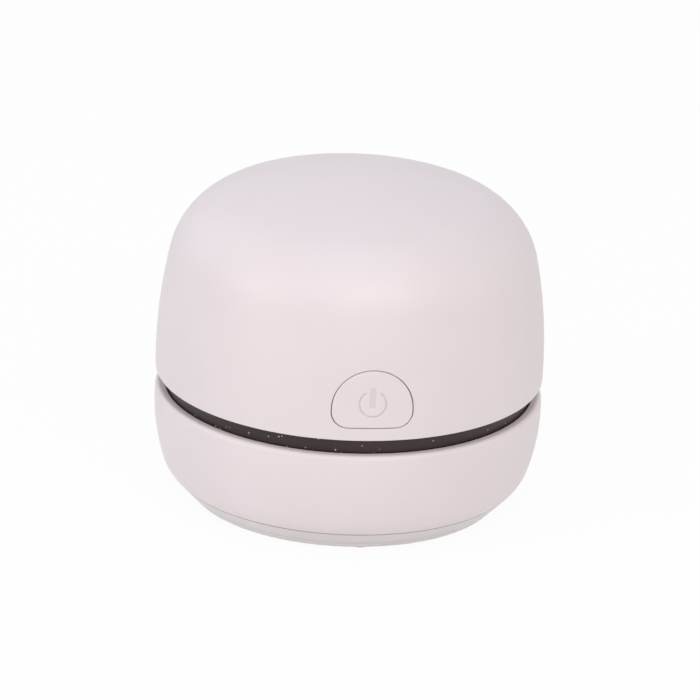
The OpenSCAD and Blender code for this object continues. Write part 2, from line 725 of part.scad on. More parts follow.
module motor_end_cap() {
    spigot = 2.5;
    spigot_outer = motor_radius - can_wall;
    spigot_wall = 1.4;
    color(NYLON_WHITE) difference() {
        union() {
            translate([0, 0, motor_top]) cylinder(r = motor_radius, h = cap_thick);
            translate([0, 0, motor_top - spigot]) ring(spigot_outer, spigot_outer - spigot_wall, spigot + cap_thick / 2);
            translate([0, 0, motor_top]) cylinder(r = bush_radius + 1.6, h = cap_thick + 3);
        }
        translate([0, 0, motor_top - past]) cylinder(r = bush_radius, h = cap_thick + 3 - 0.6 + past);
    }
}

module motor_bushes() {
    lower_z = motor_plate_z + 0.7;
    color(BRONZE) {
        translate([0, 0, lower_z])
            ring(bush_radius, shaft_radius + shaft_clear, motor_z + motor_face - lower_z);
        translate([0, 0, motor_top]) ring(bush_radius, shaft_radius + shaft_clear, cap_thick + 2.4);
    }
}

module motor_brushes() {
    gap = 0.05;
    color(MAGNET_GREY) for (turn = [90, 270])
        rotate(turn) translate([commutator_radius + gap, -1, motor_top - 3]) cube([2, 2, 3]);
}

module motor_terminals() {
    width = 2.4;
    color(BRONZE) for (side = [-1, 1])
        translate([side * terminal_place - terminal_thick / 2, -width / 2, motor_top + cap_thick])
            cube([terminal_thick, width, terminal_height]);
}

// ---- Power head: battery and boards ----
module battery_cradle() {
    saddle_y = cell_end - 9;
    saddle = 4;
    saddle_half = cell_radius + 0.6;
    color(INNER_GREY) difference() {
        union() {
            translate([cell_x - cradle_half, -end_wall_y - end_wall, deck_z])
                cube([2 * cradle_half, 2 * (end_wall_y + end_wall), cradle_floor]);
            for (side = [-1, 1]) {
                translate([cell_x - saddle_half, side * saddle_y - saddle / 2, deck_z])
                    cube([2 * saddle_half, saddle, cell_z - deck_z - 1]);
                translate([cell_x - cradle_half, side * (end_wall_y + end_wall / 2) - end_wall / 2, deck_z])
                    cube([2 * cradle_half, end_wall, cell_z - deck_z]);
            }
        }
        translate([cell_x, end_wall_y, cell_z]) rotate([90, 0, 0]) cylinder(r = cell_radius + fit, h = 2 * end_wall_y);
        for (side = [-1, 1]) translate([cell_x, side * cradle_screw_y, deck_z - past])
            cylinder(r = board_screw_radius + fit, h = cradle_floor + 2 * past);
    }
}

module cradle_screws() {
    color(STEEL) for (side = [-1, 1])
        translate([cell_x, side * cradle_screw_y, deck_z + cradle_floor]) mirror([0, 0, 1])
            screw_up(board_screw_radius + 0.8, 0.9, board_screw_radius, cradle_floor + motor_plate_thick - 0.4);
}

module battery_cell() {
    nub = 1;
    nub_radius = 2.7;
    groove = 0.5;
    color(CELL_BLUE) translate([cell_x, cell_end, cell_z]) rotate([90, 0, 0]) rotate_extrude() polygon([
        [0, 0], [nub_radius, 0], [nub_radius, nub], [cell_radius - 0.6, nub], [cell_radius, nub + 0.6],
        [cell_radius, nub + 2.4], [cell_radius - groove, nub + 2.8], [cell_radius - groove, nub + 3.4],
        [cell_radius, nub + 3.8], [cell_radius, cell_length - 0.6], [cell_radius - 0.6, cell_length],
        [0, cell_length]]);
}

module battery_tabs() {
    width = 5;
    length = 11;
    color(ZINC) for (side = [-1, 1])
        translate([cell_x - width / 2, side * (cell_end + tab_thick / 2) - tab_thick / 2, tab_height - length])
            cube([width, tab_thick, length]);
}

module charge_board() {
    chip = 4;
    color(BOARD_GREEN) difference() {
        union() {
            translate([-board_half, board_front, board_z])
                cube([2 * board_half, board_rear - board_front - 1.2, board_thick]);
            translate([-chip / 2, board_front + 6.5, board_z + board_thick / 2])
                cube([chip, chip, board_thick / 2 + 1.2]);
        }
        for (side = [-1, 1]) translate([side * board_screw_x, board_screw_y, board_z - past])
            cylinder(r = board_screw_radius + fit, h = board_thick + 2 * past);
    }
}

module board_screws() {
    color(STEEL) for (side = [-1, 1])
        translate([side * board_screw_x, board_screw_y, board_top]) mirror([0, 0, 1])
            screw_up(board_screw_radius + 0.8, 0.9, board_screw_radius, board_thick + 4);
}

module usb_socket() {
    sheet = 0.3;
    back = 1;
    tongue_width = 6.7;
    tongue_thick = 0.7;
    tongue_length = 4.5;
    color(ZINC) union() {
        difference() {
            from_front(socket_mouth - socket_depth, socket_z, socket_depth)
                polygon(slot_outline(socket_width, socket_height, 0));
            from_front(socket_mouth - socket_depth + back, socket_z, socket_depth)
                polygon(slot_outline(socket_width, socket_height, -sheet));
        }
        translate([-tongue_width / 2, socket_mouth - socket_depth + back / 2, socket_z - tongue_thick / 2])
            cube([tongue_width, tongue_length + back / 2, tongue_thick]);
    }
}

module charge_led() {
    color(CLEAR) translate([led_x - 0.8, board_rear - 2.6, board_top]) cube([1.6, 1, 1.2]);
}

module led_lens() {
    lens_start = board_rear - 1;
    color(CLEAR) intersection() {
        union() {
            from_front(lens_start, socket_z, body_radius) translate([led_x, 0]) circle(lens_radius);
            from_front(lens_start, socket_z, 0.6) translate([led_x, 0]) circle(lens_radius + 0.4);
        }
        rotate_extrude($fn = 144) polygon(concat([[0, shell_z + shell_edge]], shell_curve(0, shell_z + shell_edge)));
    }
}

module switch_board() {
    color(BOARD_GREEN) translate([-switch_board_half, switch_board_y, deck_z])
        cube([2 * switch_board_half, switch_board_thick, switch_board_top - deck_z]);
}

module switch_body() {
    back = 0.8;
    hole = plunger_half + fit;
    color(RUBBER) difference() {
        translate([-switch_half, switch_face, button_z - switch_half]) cube([2 * switch_half, switch_depth, 2 * switch_half]);
        translate([-hole, switch_face - past, button_z - hole]) cube([2 * hole, switch_depth - back + past, 2 * hole]);
    }
}

module red_wires() {
    color(WIRE_RED) {
        wire(cell_to_board);
        wire(board_to_switch);
        wire(switch_to_motor);
    }
}

module black_wires() {
    color(WIRE_BLACK) {
        wire(cell_to_board_return);
        wire(board_to_motor_return);
    }
}

// Routes of the wires. Each starts and ends square to the piece it is soldered to.
tab_face = cell_end + tab_thick;
solder_z = tab_height - 2;
pad_x = 7;
pad_y = board_front + 8;
inner_pad_x = 2.6;
inner_pad_y = board_front + 1.6;
switch_pad_x = 6;
switch_pad_z = switch_board_top - 2.4;
switch_back = switch_board_y + switch_board_thick;
solder_x = terminal_place + terminal_thick / 2;
terminal_z = motor_top + cap_thick + terminal_height - 2;
way = motor_radius + 4.5;

cell_to_board = [
    [cell_x, tab_face, solder_z], [cell_x, tab_face + 1.4, solder_z], [cell_x - 2, tab_face + 1.6, solder_z + 2],
    [cell_x - 6, tab_face, solder_z + 2.2], [pad_x + 3, pad_y - 2, board_top + 5],
    [pad_x, pad_y, board_top + 1.6], [pad_x, pad_y, board_top]];
board_to_switch = [
    [-inner_pad_x, inner_pad_y, board_top], [-inner_pad_x, inner_pad_y, board_top + 1.8],
    [-way * 0.4, way * 1.2, board_top + 3.6], [-way * 0.8, way * 0.75, board_top + 4.6], [-way, 0, board_top + 4.6],
    [-way * 0.8, -way * 0.8, switch_pad_z + 1], [-switch_pad_x - 1, switch_back + 5, switch_pad_z + 0.5],
    [-switch_pad_x, switch_back + 1.6, switch_pad_z], [-switch_pad_x, switch_back, switch_pad_z]];
switch_to_motor = [
    [switch_pad_x, switch_back, switch_pad_z], [switch_pad_x, switch_back + 1.8, switch_pad_z],
    [switch_pad_x + 2, -way * 1.3, switch_pad_z + 4], [way * 0.65, -way, motor_top - 12],
    [way * 0.75, -way * 0.55, motor_top - 3], [motor_radius + 0.8, -way * 0.2, terminal_z],
    [solder_x + 1.6, 0, terminal_z], [solder_x, 0, terminal_z]];
cell_to_board_return = [
    [cell_x, -tab_face, solder_z], [cell_x, -tab_face - 1.4, solder_z], [cell_x - 1.5, -tab_face - 1, solder_z + 3],
    [cell_x - 4, -tab_face + 8, cell_z + cell_radius + 1.6], [cell_x - 4.5, 0, cell_z + cell_radius + 1.6],
    [cell_x - 5, way * 0.9, cell_z + cell_radius + 1], [pad_x - 1, board_front + 3.5, board_top + 6.5],
    [-pad_x + 2, pad_y - 1, board_top + 4.5], [-pad_x, pad_y, board_top + 1.6], [-pad_x, pad_y, board_top]];
board_to_motor_return = [
    [inner_pad_x, inner_pad_y, board_top], [inner_pad_x, inner_pad_y, board_top + 2],
    [inner_pad_x - 1, way * 1.15, board_top + 9], [-way * 0.25, way * 0.95, motor_top - 8],
    [-way * 0.6, way * 0.7, motor_top], [-motor_radius - 0.4, way * 0.25, terminal_z + 0.4],
    [-solder_x - 1.6, 0, terminal_z], [-solder_x, 0, terminal_z]];

// ---- Rotor ----
module motor_shaft() {
    color(STEEL) translate([0, 0, fan_z - 0.3])
        cylinder(r = shaft_radius, h = motor_top + cap_thick + 2 - fan_z + 0.3);
}

module armature_core() {
    poles = 5;
    slot = 1.8;
    color(STEEL) translate([0, 0, core_z]) linear_extrude(core_length) difference() {
        circle(core_radius);
        circle(shaft_radius);
        for (i = [0:poles - 1]) rotate(360 * i / poles)
            translate([core_radius * 0.45, -slot / 2]) square([core_radius, slot]);
    }
}

module armature_windings() {
    poles = 5;
    slot = 1.6;
    turn_height = 1.8;
    inner = shaft_radius + 1.4;
    outer = core_radius - 1;
    color(COPPER) {
        for (z = [core_z - turn_height, core_z + core_length])
            translate([0, 0, z]) ring(outer, inner, turn_height);
        for (i = [0:poles - 1]) rotate(360 * i / poles)
            translate([core_radius * 0.5, -slot / 2, core_z])
                cube([core_radius * 0.35, slot, core_length]);
    }
}

module commutator() {
    segments = 5;
    slit = 0.4;
    color(COPPER) translate([0, 0, motor_top - commutator_length]) difference() {
        ring(commutator_radius, shaft_radius, commutator_length - 0.4);
        for (i = [0:segments - 1]) rotate(360 * i / segments)
            translate([commutator_radius - 0.5, -slit / 2, -past]) cube([past, slit, commutator_length + 2 * past]);
    }
}

// A backward-curved centrifugal wheel that hangs under its back plate
module impeller() {
    hub_radius = 4;
    back = 1;
    blade_inner = 10;
    blade_outer = fan_radius - 0.5;
    blade_thick = 1;
    sweep = 38;
    steps = 8;
    function blade_side(shift) = [for (i = [0:steps])
        let (u = i / steps, r = blade_inner + (blade_outer - blade_inner) * u, a = -sweep * u)
        [r * cos(a) - shift * sin(a), r * sin(a) + shift * cos(a)]];
    color(NYLON_WHITE) difference() {
        union() {
            translate([0, 0, fan_top - back]) cylinder(r = fan_radius, h = back, $fn = 144);
            translate([0, 0, fan_z]) cylinder(r = hub_radius, h = fan_height);
            for (i = [0:blade_count - 1]) rotate(360 * i / blade_count) translate([0, 0, fan_z])
                linear_extrude(fan_height - back / 2)
                    polygon(concat(blade_side(blade_thick / 2), reversed(blade_side(-blade_thick / 2))));
        }
        translate([0, 0, fan_z - past]) cylinder(r = shaft_radius, h = fan_height + 2 * past);
    }
}

// ---- Button ----
module power_button() {
    front = -body_radius - past;
    reach = body_radius / 4;
    rib = 1.4;
    stem_root = side_radius(button_wall - cover, button_z);
    color(SHELL_WHITE) difference() {
        union() {
            intersection() {
                from_front(front, button_z, reach) polygon(d_outline(0));
                side_layer(0, flange_depth + flange_thick / 2);
            }
            intersection() {
                from_front(front, button_z, reach) intersection() {
                    polygon(d_outline(flange));
                    translate([-2 * button_radius, cover - button_drop]) square(4 * button_radius);
                }
                side_layer(flange_depth, button_back);
            }
        }
        intersection() {
            from_front(front, button_z, reach) polygon(d_outline(-rib));
            side_layer(button_wall, button_back + past);
        }
        intersection() {
            from_front(front, button_z, reach) power_symbol();
            side_layer(-past, symbol_depth);
        }
    }
    color(SHELL_WHITE) translate([0, stem_end, button_z]) rotate([90, 0, 0])
        cylinder(r = plunger_half + 0.6, h = stem_root + stem_end);
}

// A broken ring with a bar, drawn about the button's centre
module power_symbol() {
    ring_y = 1.35;
    groove = 0.3;
    opening = 33;
    bar_width = 1.25;
    bar_height = 4.5;
    bar_y = 0.42;
    translate([0, ring_y]) difference() {
        circle(symbol_radius + groove / 2);
        circle(symbol_radius - groove / 2);
        polygon([[0, 0], 2 * symbol_radius * [sin(opening), cos(opening)], [0, 3 * symbol_radius],
                 2 * symbol_radius * [-sin(opening), cos(opening)]]);
    }
    translate([-bar_width / 2, bar_y]) square([bar_width, bar_height]);
}

module switch_plunger() {
    inside = 2.2;
    color(NYLON_WHITE) translate([-plunger_half, stem_end, button_z - plunger_half])
        cube([2 * plunger_half, switch_face - stem_end + inside, 2 * plunger_half]);
}

dust_bowl();
base_plate();
brush_strips();
glide_pads();
base_screws();
inlet_hood();
filter_frame();
filter_cloth();
filter_gasket();
top_shell();
fan_housing();
housing_screws();
motor_plate();
motor_damper();
motor_screws();
motor_can();
motor_magnets();
motor_end_cap();
motor_bushes();
motor_brushes();
motor_terminals();
battery_cradle();
cradle_screws();
battery_cell();
battery_tabs();
charge_board();
board_screws();
usb_socket();
charge_led();
led_lens();
switch_board();
switch_body();
red_wires();
black_wires();
motor_shaft();
armature_core();
armature_windings();
commutator();
impeller();
power_button();
switch_plunger();
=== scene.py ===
"""Looks of the desktop mini vacuum cleaner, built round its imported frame. Lengths are in metres."""

import math
import random

import bmesh
import bpy
import numpy as np
from bpy.props import FloatProperty, FloatVectorProperty, IntProperty, PointerProperty
from mathutils import Matrix, Vector


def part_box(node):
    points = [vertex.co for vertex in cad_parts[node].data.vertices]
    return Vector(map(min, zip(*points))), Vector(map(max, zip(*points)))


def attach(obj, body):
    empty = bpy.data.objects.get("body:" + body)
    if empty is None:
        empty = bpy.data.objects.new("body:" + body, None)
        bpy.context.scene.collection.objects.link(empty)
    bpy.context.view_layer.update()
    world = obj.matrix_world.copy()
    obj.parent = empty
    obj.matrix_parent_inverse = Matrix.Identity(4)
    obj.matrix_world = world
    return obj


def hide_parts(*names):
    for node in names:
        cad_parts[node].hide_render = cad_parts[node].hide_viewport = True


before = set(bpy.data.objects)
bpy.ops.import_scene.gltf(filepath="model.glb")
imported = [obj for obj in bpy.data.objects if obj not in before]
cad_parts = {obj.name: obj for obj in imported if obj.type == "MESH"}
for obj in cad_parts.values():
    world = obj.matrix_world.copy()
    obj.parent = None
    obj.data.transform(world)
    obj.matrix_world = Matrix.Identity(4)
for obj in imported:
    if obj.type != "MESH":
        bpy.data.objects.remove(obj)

bl_info = {
    "name": "Desktop mini vacuum cleaner",
    "version": (1, 0, 0),
    "blender": (4, 5, 0),
    "location": "3D View > Sidebar > Mini Vacuum",
    "description": (
        "Dresses the packed desktop mini vacuum cleaner with its smooth shells, bristles, cloth and finishes"
    ),
    "category": "Add Mesh",
}

LINES_ROUND = 360  # lengthwise lines round a shell, one each degree
FRONT, REAR = -90, 90  # bearings that a face of the shell looks along, in degrees
OPENING_MARGIN = 0.0012  # of finer mesh round an opening in a shell
BOSS_LINES = 36  # lengthwise lines round a boss
SMALL_EDGE = 0.0002  # radius of the edges of the dome's bosses, the button's stem and the brush's backings
ON_AXIS = 1e-9  # radius under which a point lies on the axis that an outline is turned about
MIDDLE_HEIGHT = 0.035  # of the cleaner, where the lamps aim


def linear(hex_colour):
    """An sRGB hex colour as linear red, green, blue and alpha."""
    shares = [int(hex_colour[i : i + 2], 16) / 255 for i in (0, 2, 4)]
    return tuple(s / 12.92 if s <= 0.04045 else ((s + 0.055) / 1.055) ** 2.4 for s in shares) + (1.0,)


def length(name, description, default):
    """A length that a user can set."""
    return FloatProperty(name=name, description=description, default=default, min=0.0, unit="LENGTH", precision=5)


def colour(name, description, hex_colour):
    """A colour that a user can set."""
    return FloatVectorProperty(
        name=name, description=description, default=linear(hex_colour), size=4, min=0.0, max=1.0, subtype="COLOR"
    )


def level(name, description, default):
    """A lamp's power that a user can set."""
    return FloatProperty(name=name, description=description, default=default, min=0.0, subtype="POWER")


# ---- Sizes and colours ----
class DomeSizes(bpy.types.PropertyGroup):
    radius: length("Radius", "Largest radius of the dome", 0.042)
    side_curve: length("Side curve", "Radius of the long curve of the dome's side", 0.113)
    shoulder_curve: length("Shoulder curve", "Radius of the dome's shoulder", 0.0175)
    crown_curve: length("Crown curve", "Radius of the dome's crown", 0.0907)
    lip: length("Lip height", "Height of the dome's lower edge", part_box("top_shell")[0].z)
    crown: length("Crown height", "Height of the dome's top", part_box("top_shell")[1].z)
    waist_rise: length("Waist rise", "Height of the widest line above the lower edge", 0.00365)
    wall: length("Wall", "Wall of the dome", 0.002)
    collar: length("Collar radius", "Inner radius of the dome's lip, round the fan housing", 0.039693)
    lip_round: length("Lip round", "Radius of the lip's outer edge", 0.00025)


class BowlSizes(bpy.types.PropertyGroup):
    radius: length("Radius", "Largest radius of the bowl", 0.04195)
    curve: length("Side curve", "Radius of the curve of the bowl's side", 0.0422)
    corner: length("Corner", "Radius of the bowl's lower corner", 0.0088)
    corner_turn: FloatProperty(
        name="Corner turn",
        description="How far the lower corner has turned under where it meets the seam",
        default=math.radians(45),
        min=0.0,
        subtype="ANGLE",
    )
    seam: length("Seam height", "Height of the seam over the base plate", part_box("dust_bowl")[0].z)
    rim: length("Rim height", "Height of the bowl's rim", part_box("dust_bowl")[1].z)
    waist_rise: length("Waist rise", "Height of the widest line above the seam", 0.0165)
    wall: length("Wall", "Wall and floor of the bowl", 0.002)
    rim_width: length("Rim width", "Width of the rim", 0.002)
    rim_round: length("Rim round", "Radius of the rim's outer edge", 0.0009)
    ledge_rise: length("Ledge rise", "Height of the filter's ledge above the seam", 0.0114)
    ledge_width: length("Ledge width", "Width of the filter's ledge", 0.0036)
    chimney_height: length("Chimney height", "Height of the inlet's chimney above the inner floor", 0.0038)
    chimney_wall: length("Chimney wall", "Wall of the inlet's chimney", 0.0016)


class ButtonSizes(bpy.types.PropertyGroup):
    radius: length("Radius", "Radius of the button's round top", 0.0086)
    drop: length("Drop", "From the middle of that radius down to the flat edge", 0.00405)
    corner: length("Corner", "Radius of the two lower corners", 0.0034)
    rise: length("Rise", "Height of the button's centre above the dome's lip", 0.007)
    gap: length("Gap", "Gap all round the button", 0.0002)
    edge: length("Edge", "Radius of the button's edge", 0.0002)
    symbol_radius: length("Symbol radius", "Radius of the power symbol's ring", 0.00285)
    groove_depth: length("Groove depth", "Depth of the power symbol's ring", 0.00025)
    bar_depth: length("Bar depth", "Depth of the power symbol's bar", 0.00012)


class BrushSizes(bpy.types.PropertyGroup):
    strips: IntProperty(name="Strips", description="Number of brush strips in the ring", default=6, min=1)
    ring: length("Ring radius", "Radius of the middle of the ring of strips", 0.0235)
    tuft: length("Tuft radius", "Radius of one tuft", 0.0008)
    pitch: length("Tuft pitch", "Distance between tufts along a row", 0.0023)
    bristle: length("Bristle", "Thickness of one bristle", 0.0002)
    tufted: IntProperty(name="Bristles", description="Number of bristles in a tuft", default=22, min=3)


class FinishColours(bpy.types.PropertyGroup):
    shell: colour("Shell", "Warm white ABS of the dome, bowl and button", "EBE1E1")
    base: colour("Base", "Milky ABS of the base plate", "E9E3E2")
    housing: colour("Housing", "Dark ABS of the fan housing", "2A1614")
    dust: colour("Dust", "Dust caught on the fan housing", "CFC6C0")
    inner: colour("Inner", "Grey ABS of the inner frames", "8B8B8D")
    nylon: colour("Nylon", "Natural nylon of the bristles, glide pads and fan wheel", "EAEAE4")
    rubber: colour("Rubber", "Black rubber of the seals", "1E1E1F")
    felt: colour("Felt", "White filter felt", "EDECE8")
    copper: colour("Copper", "Enamelled winding wire", "C9693F")
    sleeve: colour("Sleeve", "Shrink sleeve of the cell", "2F6CA8")
    mask: colour("Solder mask", "Green solder mask of the boards", "14583A")
    red: colour("Red insulation", "PVC of the supply wires", "B3161A")
    black: colour("Black insulation", "PVC of the return wires", "17171A")


class StageLights(bpy.types.PropertyGroup):
    left: level("Left", "Power of the small soft lamp low at the left", 2.0)
    front_left: level("Front left", "Power of the soft lamp above the front, at the left", 1.25)
    front: level("Front", "Power of the wide soft lamp above the front", 4.45)
    right: level("Right", "Power of the soft lamp low at the right", 0.8)
    overhead: level("Overhead", "Power of the wide soft lamp overhead", 2.95)
    rear: level("Rear", "Power of the soft lamp behind, at the left", 1.2)
    room: FloatProperty(name="Room", description="Strength of the even light from all round", default=0.42, min=0.0)


# ---- Outlines ----
def arc(centre, radius, start, end, steps):
    """Points along an arc from one bearing to another, in degrees."""
    turns = [math.radians(start + (end - start) * i / steps) for i in range(steps + 1)]
    return [(centre[0] + radius * math.cos(t), centre[1] + radius * math.sin(t)) for t in turns]


def bearing(start, end):
    """Bearing of one point from another, in degrees."""
    return math.degrees(math.atan2(end[1] - start[1], end[0] - start[0]))


def upper_meeting(a, radius_a, b, radius_b):
    """The upper of the two points where two circles meet."""
    d = math.dist(a, b)
    along = ((b[0] - a[0]) / d, (b[1] - a[1]) / d)
    t = (radius_a**2 - radius_b**2 + d**2) / (2 * d)
    up = math.sqrt(radius_a**2 - t**2)
    return (a[0] + t * along[0] - up * along[1], a[1] + t * along[1] + up * along[0])


def softened(outline, radius, steps=3):
    """A closed outline with each sharp corner rounded off, apart from those on the axis that it is turned about."""
    least_turn, most_share = math.radians(20), 0.4
    corners = [Vector(p) for p in outline]
    result = []
    for i, corner in enumerate(corners):
        back = corners[i - 1] - corner
        on = corners[(i + 1) % len(corners)] - corner
        turn = math.pi - back.angle(on)
        if turn < least_turn or corner.x < ON_AXIS:
            result.append(tuple(corner))
            continue
        reach = min(radius * math.tan(turn / 2), most_share * back.length, most_share * on.length)
        start, end = corner + back.normalized() * reach, corner + on.normalized() * reach
        for s in range(steps + 1):
            t = s / steps
            result.append(tuple((1 - t) ** 2 * start + 2 * t * (1 - t) * corner + t * t * end))
    return result


def reach_of(outline, centre):
    """A function that gives how far a closed outline lies from a centre inside it, for any bearing in radians."""
    points, spacing = [], 0.0001
    for start, end in zip(outline, outline[1:] + outline[:1]):
        parts = math.ceil(math.dist(start, end) / spacing) or 1
        points += [tuple(a + (b - a) * i / parts for a, b in zip(start, end)) for i in range(parts)]
    bearings = [math.atan2(v - centre[1], u - centre[0]) for u, v in points]
    distances = [math.dist(p, centre) for p in points]
    return lambda towards: float(np.interp(towards, bearings, distances, period=2 * math.pi))


def d_outline(sizes, grow):
    """The button's outline, a D lying on its flat side, grown by a margin all round."""
    side, foot = sizes.radius - sizes.corner, sizes.corner - sizes.drop
    return (
        arc((0, 0), sizes.radius + grow, 0, 180, 120)
        + arc((-side, foot), sizes.corner + grow, 180, 270, 30)
        + arc((side, foot), sizes.corner + grow, 270, 360, 30)
    )


def slot_outline(width, height, grow):
    """A slot with round ends, grown by a margin all round."""
    end = (width - height) / 2
    return arc((end, 0), height / 2 + grow, -90, 90, 40) + arc((-end, 0), height / 2 + grow, 90, 270, 40)


# ---- Making pieces ----
def even_turns(count):
    """Bearings spread evenly round a circle, in radians."""
    return [2 * math.pi * k / count for k in range(count)]


def around(radius, turn, z=0.0):
    """The point at a radius, a bearing in radians and a height."""
    return Vector((radius * math.cos(turn), radius * math.sin(turn), z))


def stand(name, data):
    """An object that holds the data, linked to the scene."""
    made = bpy.data.objects.new(name, data)
    bpy.context.scene.collection.objects.link(made)
    return made


class Skin:
    """The points and faces of a piece while it is made."""

    def __init__(self):
        self.points, self.faces = [], []

    def loop(self, points):
        """Adds points, and gives their numbers."""
        start = len(self.points)
        self.points.extend(points)
        return list(range(start, len(self.points)))

    def band(self, first, second):
        """Closes the band between two closed loops of as many points. A loop of one point is a pole."""
        count = max(len(first), len(second))
        for k in range(count):
            n = (k + 1) % count
            corners = [first[k % len(first)], first[n % len(first)], second[n % len(second)], second[k % len(second)]]
            self.faces.append(tuple(dict.fromkeys(corners)))

    def strip(self, loops):
        """Closes the bands between each loop and the next."""
        for first, second in zip(loops, loops[1:]):
            self.band(first, second)

    def lathe(self, section, lines=LINES_ROUND, closed=True, place=Matrix.Identity(4)):
        """Turns an outline of radii and heights about the Z axis of place."""
        loops = []
        for radius, z in section:
            count = 1 if radius < ON_AXIS else lines
            loops.append(self.loop([place @ around(radius, t, z) for t in even_turns(count)]))
        self.strip(loops + loops[:1] if closed else loops)

    def tube(self, route, radius, sides=12):
        """A tube along a route, closed by a flat face at each end."""
        heading = (route[1] - route[0]).normalized()
        side = heading.orthogonal().normalized()
        loops = []
        for i, point in enumerate(route):
            heading = (route[min(i + 1, len(route) - 1)] - route[max(i - 1, 0)]).normalized()
            side = (side - heading * side.dot(heading)).normalized()
            other = heading.cross(side)
            ring = [math.cos(t) * side + math.sin(t) * other for t in even_turns(sides)]
            loops.append(self.loop([point + radius * out for out in ring]))
        self.strip(loops)
        self.faces.append(tuple(reversed(loops[0])))
        self.faces.append(tuple(loops[-1]))

    def block(self, low, high, place=Matrix.Identity(4)):
        """A block between two corners, in the axes of place."""
        x, y, z = zip(low, high)
        corners = ((0, 0), (1, 0), (1, 1), (0, 1))
        base, roof = (self.loop([place @ Vector((x[a], y[b], height)) for a, b in corners]) for height in z)
        self.band(base, roof)
        self.faces.append(tuple(reversed(base)))
        self.faces.append(tuple(roof))

    def piece(self, name, body, slot, finish, *stands_for):
        """The finished piece, riding on its body in place of the CAD nodes that it stands for."""
        mesh = bpy.data.meshes.new(name)
        mesh.from_pydata(self.points, [], self.faces)
        shaping = bmesh.new()
        shaping.from_mesh(mesh)
        bmesh.ops.recalc_face_normals(shaping, faces=shaping.faces)
        shaping.to_mesh(mesh)
        shaping.free()
        mesh.shade_smooth()
        mesh.materials.append(finish)
        made = stand(name, mesh)
        evened = made.modifiers.new("Even shading", "WEIGHTED_NORMAL")
        evened.keep_sharp = True
        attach(made, body)
        if stands_for:
            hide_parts(*stands_for)
        return made


def dress(finish, *nodes):
    """Gives CAD nodes that are shown as they are their finish."""
    for node in nodes:
        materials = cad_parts[node].data.materials
        materials.clear()
        materials.append(finish)


# ---- Finishes ----
def feed(tree, node, inputs):
    """Gives a node its inputs. Each takes a value or another node's output."""
    for name, value in inputs.items():
        if isinstance(value, bpy.types.NodeSocket):
            tree.links.new(value, node.inputs[name])
        else:
            node.inputs[name].default_value = value


def add(tree, kind, inputs=None, **settings):
    """Adds a node with its settings and inputs."""
    node = tree.nodes.new(kind)
    for name, value in settings.items():
        setattr(node, name, value)
    feed(tree, node, inputs or {})
    return node


PLASTIC, METAL = {"IOR": 1.53}, {"Metallic": 1.0}
WAVE_SPACING = 0.314  # between the rows of a wave texture at a scale of 1, in metres


def shade(paint, share):
    """A share of a paint, lighter where it is over 1."""
    return tuple(min(1.0, c * share) for c in paint[:3]) + (1.0,)


def new_finish(name, settings):
    """A material with its shader, and the place on the piece that a pattern reads, in metres."""
    material = bpy.data.materials.get(name)
    if material:
        bpy.data.materials.remove(material)
    material = bpy.data.materials.new(name)
    material.use_nodes = True
    tree = material.node_tree
    tree.nodes.clear()
    shader = add(tree, "ShaderNodeBsdfPrincipled", settings)
    add(tree, "ShaderNodeOutputMaterial", {"Surface": shader.outputs["BSDF"]})
    place = add(tree, "ShaderNodeTexCoord").outputs["Object"]
    return material, tree, shader, place


def mottled(tree, place, paint, size, lightest, darkest, detail=2.0):
    """A colour that drifts between two shades of paint over patches of a size."""
    patches = add(tree, "ShaderNodeTexNoise", {"Vector": place, "Scale": 1 / size, "Detail": detail})
    shades = add(tree, "ShaderNodeValToRGB", {"Fac": patches.outputs["Fac"]})
    for stop, share, at in zip(shades.color_ramp.elements, (darkest, lightest), (0.3, 0.7)):
        stop.color = shade(paint, share)
        stop.position = at
    return shades.outputs["Color"]


def roughened(tree, shader, place, size, low, high, height):
    """Lets roughness drift between low and high, and gives the surface a grain of a size, height deep."""
    drift_size = 12 * size
    grain = add(tree, "ShaderNodeTexNoise", {"Vector": place, "Scale": 1 / size, "Detail": 3.0})
    drift = add(tree, "ShaderNodeTexNoise", {"Vector": place, "Scale": 1 / drift_size, "Detail": 2.0})
    share = add(tree, "ShaderNodeMapRange", {"Value": drift.outputs["Fac"], "To Min": low, "To Max": high})
    bump = add(tree, "ShaderNodeBump", {"Height": grain.outputs["Fac"], "Distance": height})
    feed(tree, shader, {"Roughness": share.outputs["Result"], "Normal": bump.outputs["Normal"]})


def plain_finish(name, settings, paint, patches, grain):
    """A material of one paint. Patches and grain are what mottled and roughened take, from their sizes on."""
    material, tree, shader, place = new_finish(name, settings)
    feed(tree, shader, {"Base Color": mottled(tree, place, paint, *patches)})
    roughened(tree, shader, place, *grain)
    return material


def clouded(depth, radius, weight):
    """Settings for a plastic that light goes a little way into, to a depth in metres."""
    return PLASTIC | {"Subsurface Weight": weight, "Subsurface Radius": radius, "Subsurface Scale": depth}


def moulded_white_abs(paint):
    """Warm white ABS, injection moulded in a lightly spark-eroded tool.

    That gives a satin face with a broad soft highlight and no visible grain. The real grain is near 0.05 mm,
    too fine to show, so it is drawn at 0.3 mm and very low.
    """
    finish = clouded(0.0012, (1.0, 0.85, 0.85), 0.18)
    return plain_finish("moulded_white_abs", finish, paint, (0.018, 1.0, 0.975), (0.0003, 0.40, 0.48, 0.000002))


def sparked_white_abs(paint):
    """The same white ABS where the tool was spark-eroded coarse, so a sunk mark looks drier. Its colour is painted
    darker, as shade in the sunk mark.
    """
    # painted shade: the shell's paint is taken to 0.86 to 0.9 of itself
    return plain_finish("sparked_white_abs", PLASTIC, paint, (0.002, 0.9, 0.86), (0.0003, 0.6, 0.7, 0.000008))


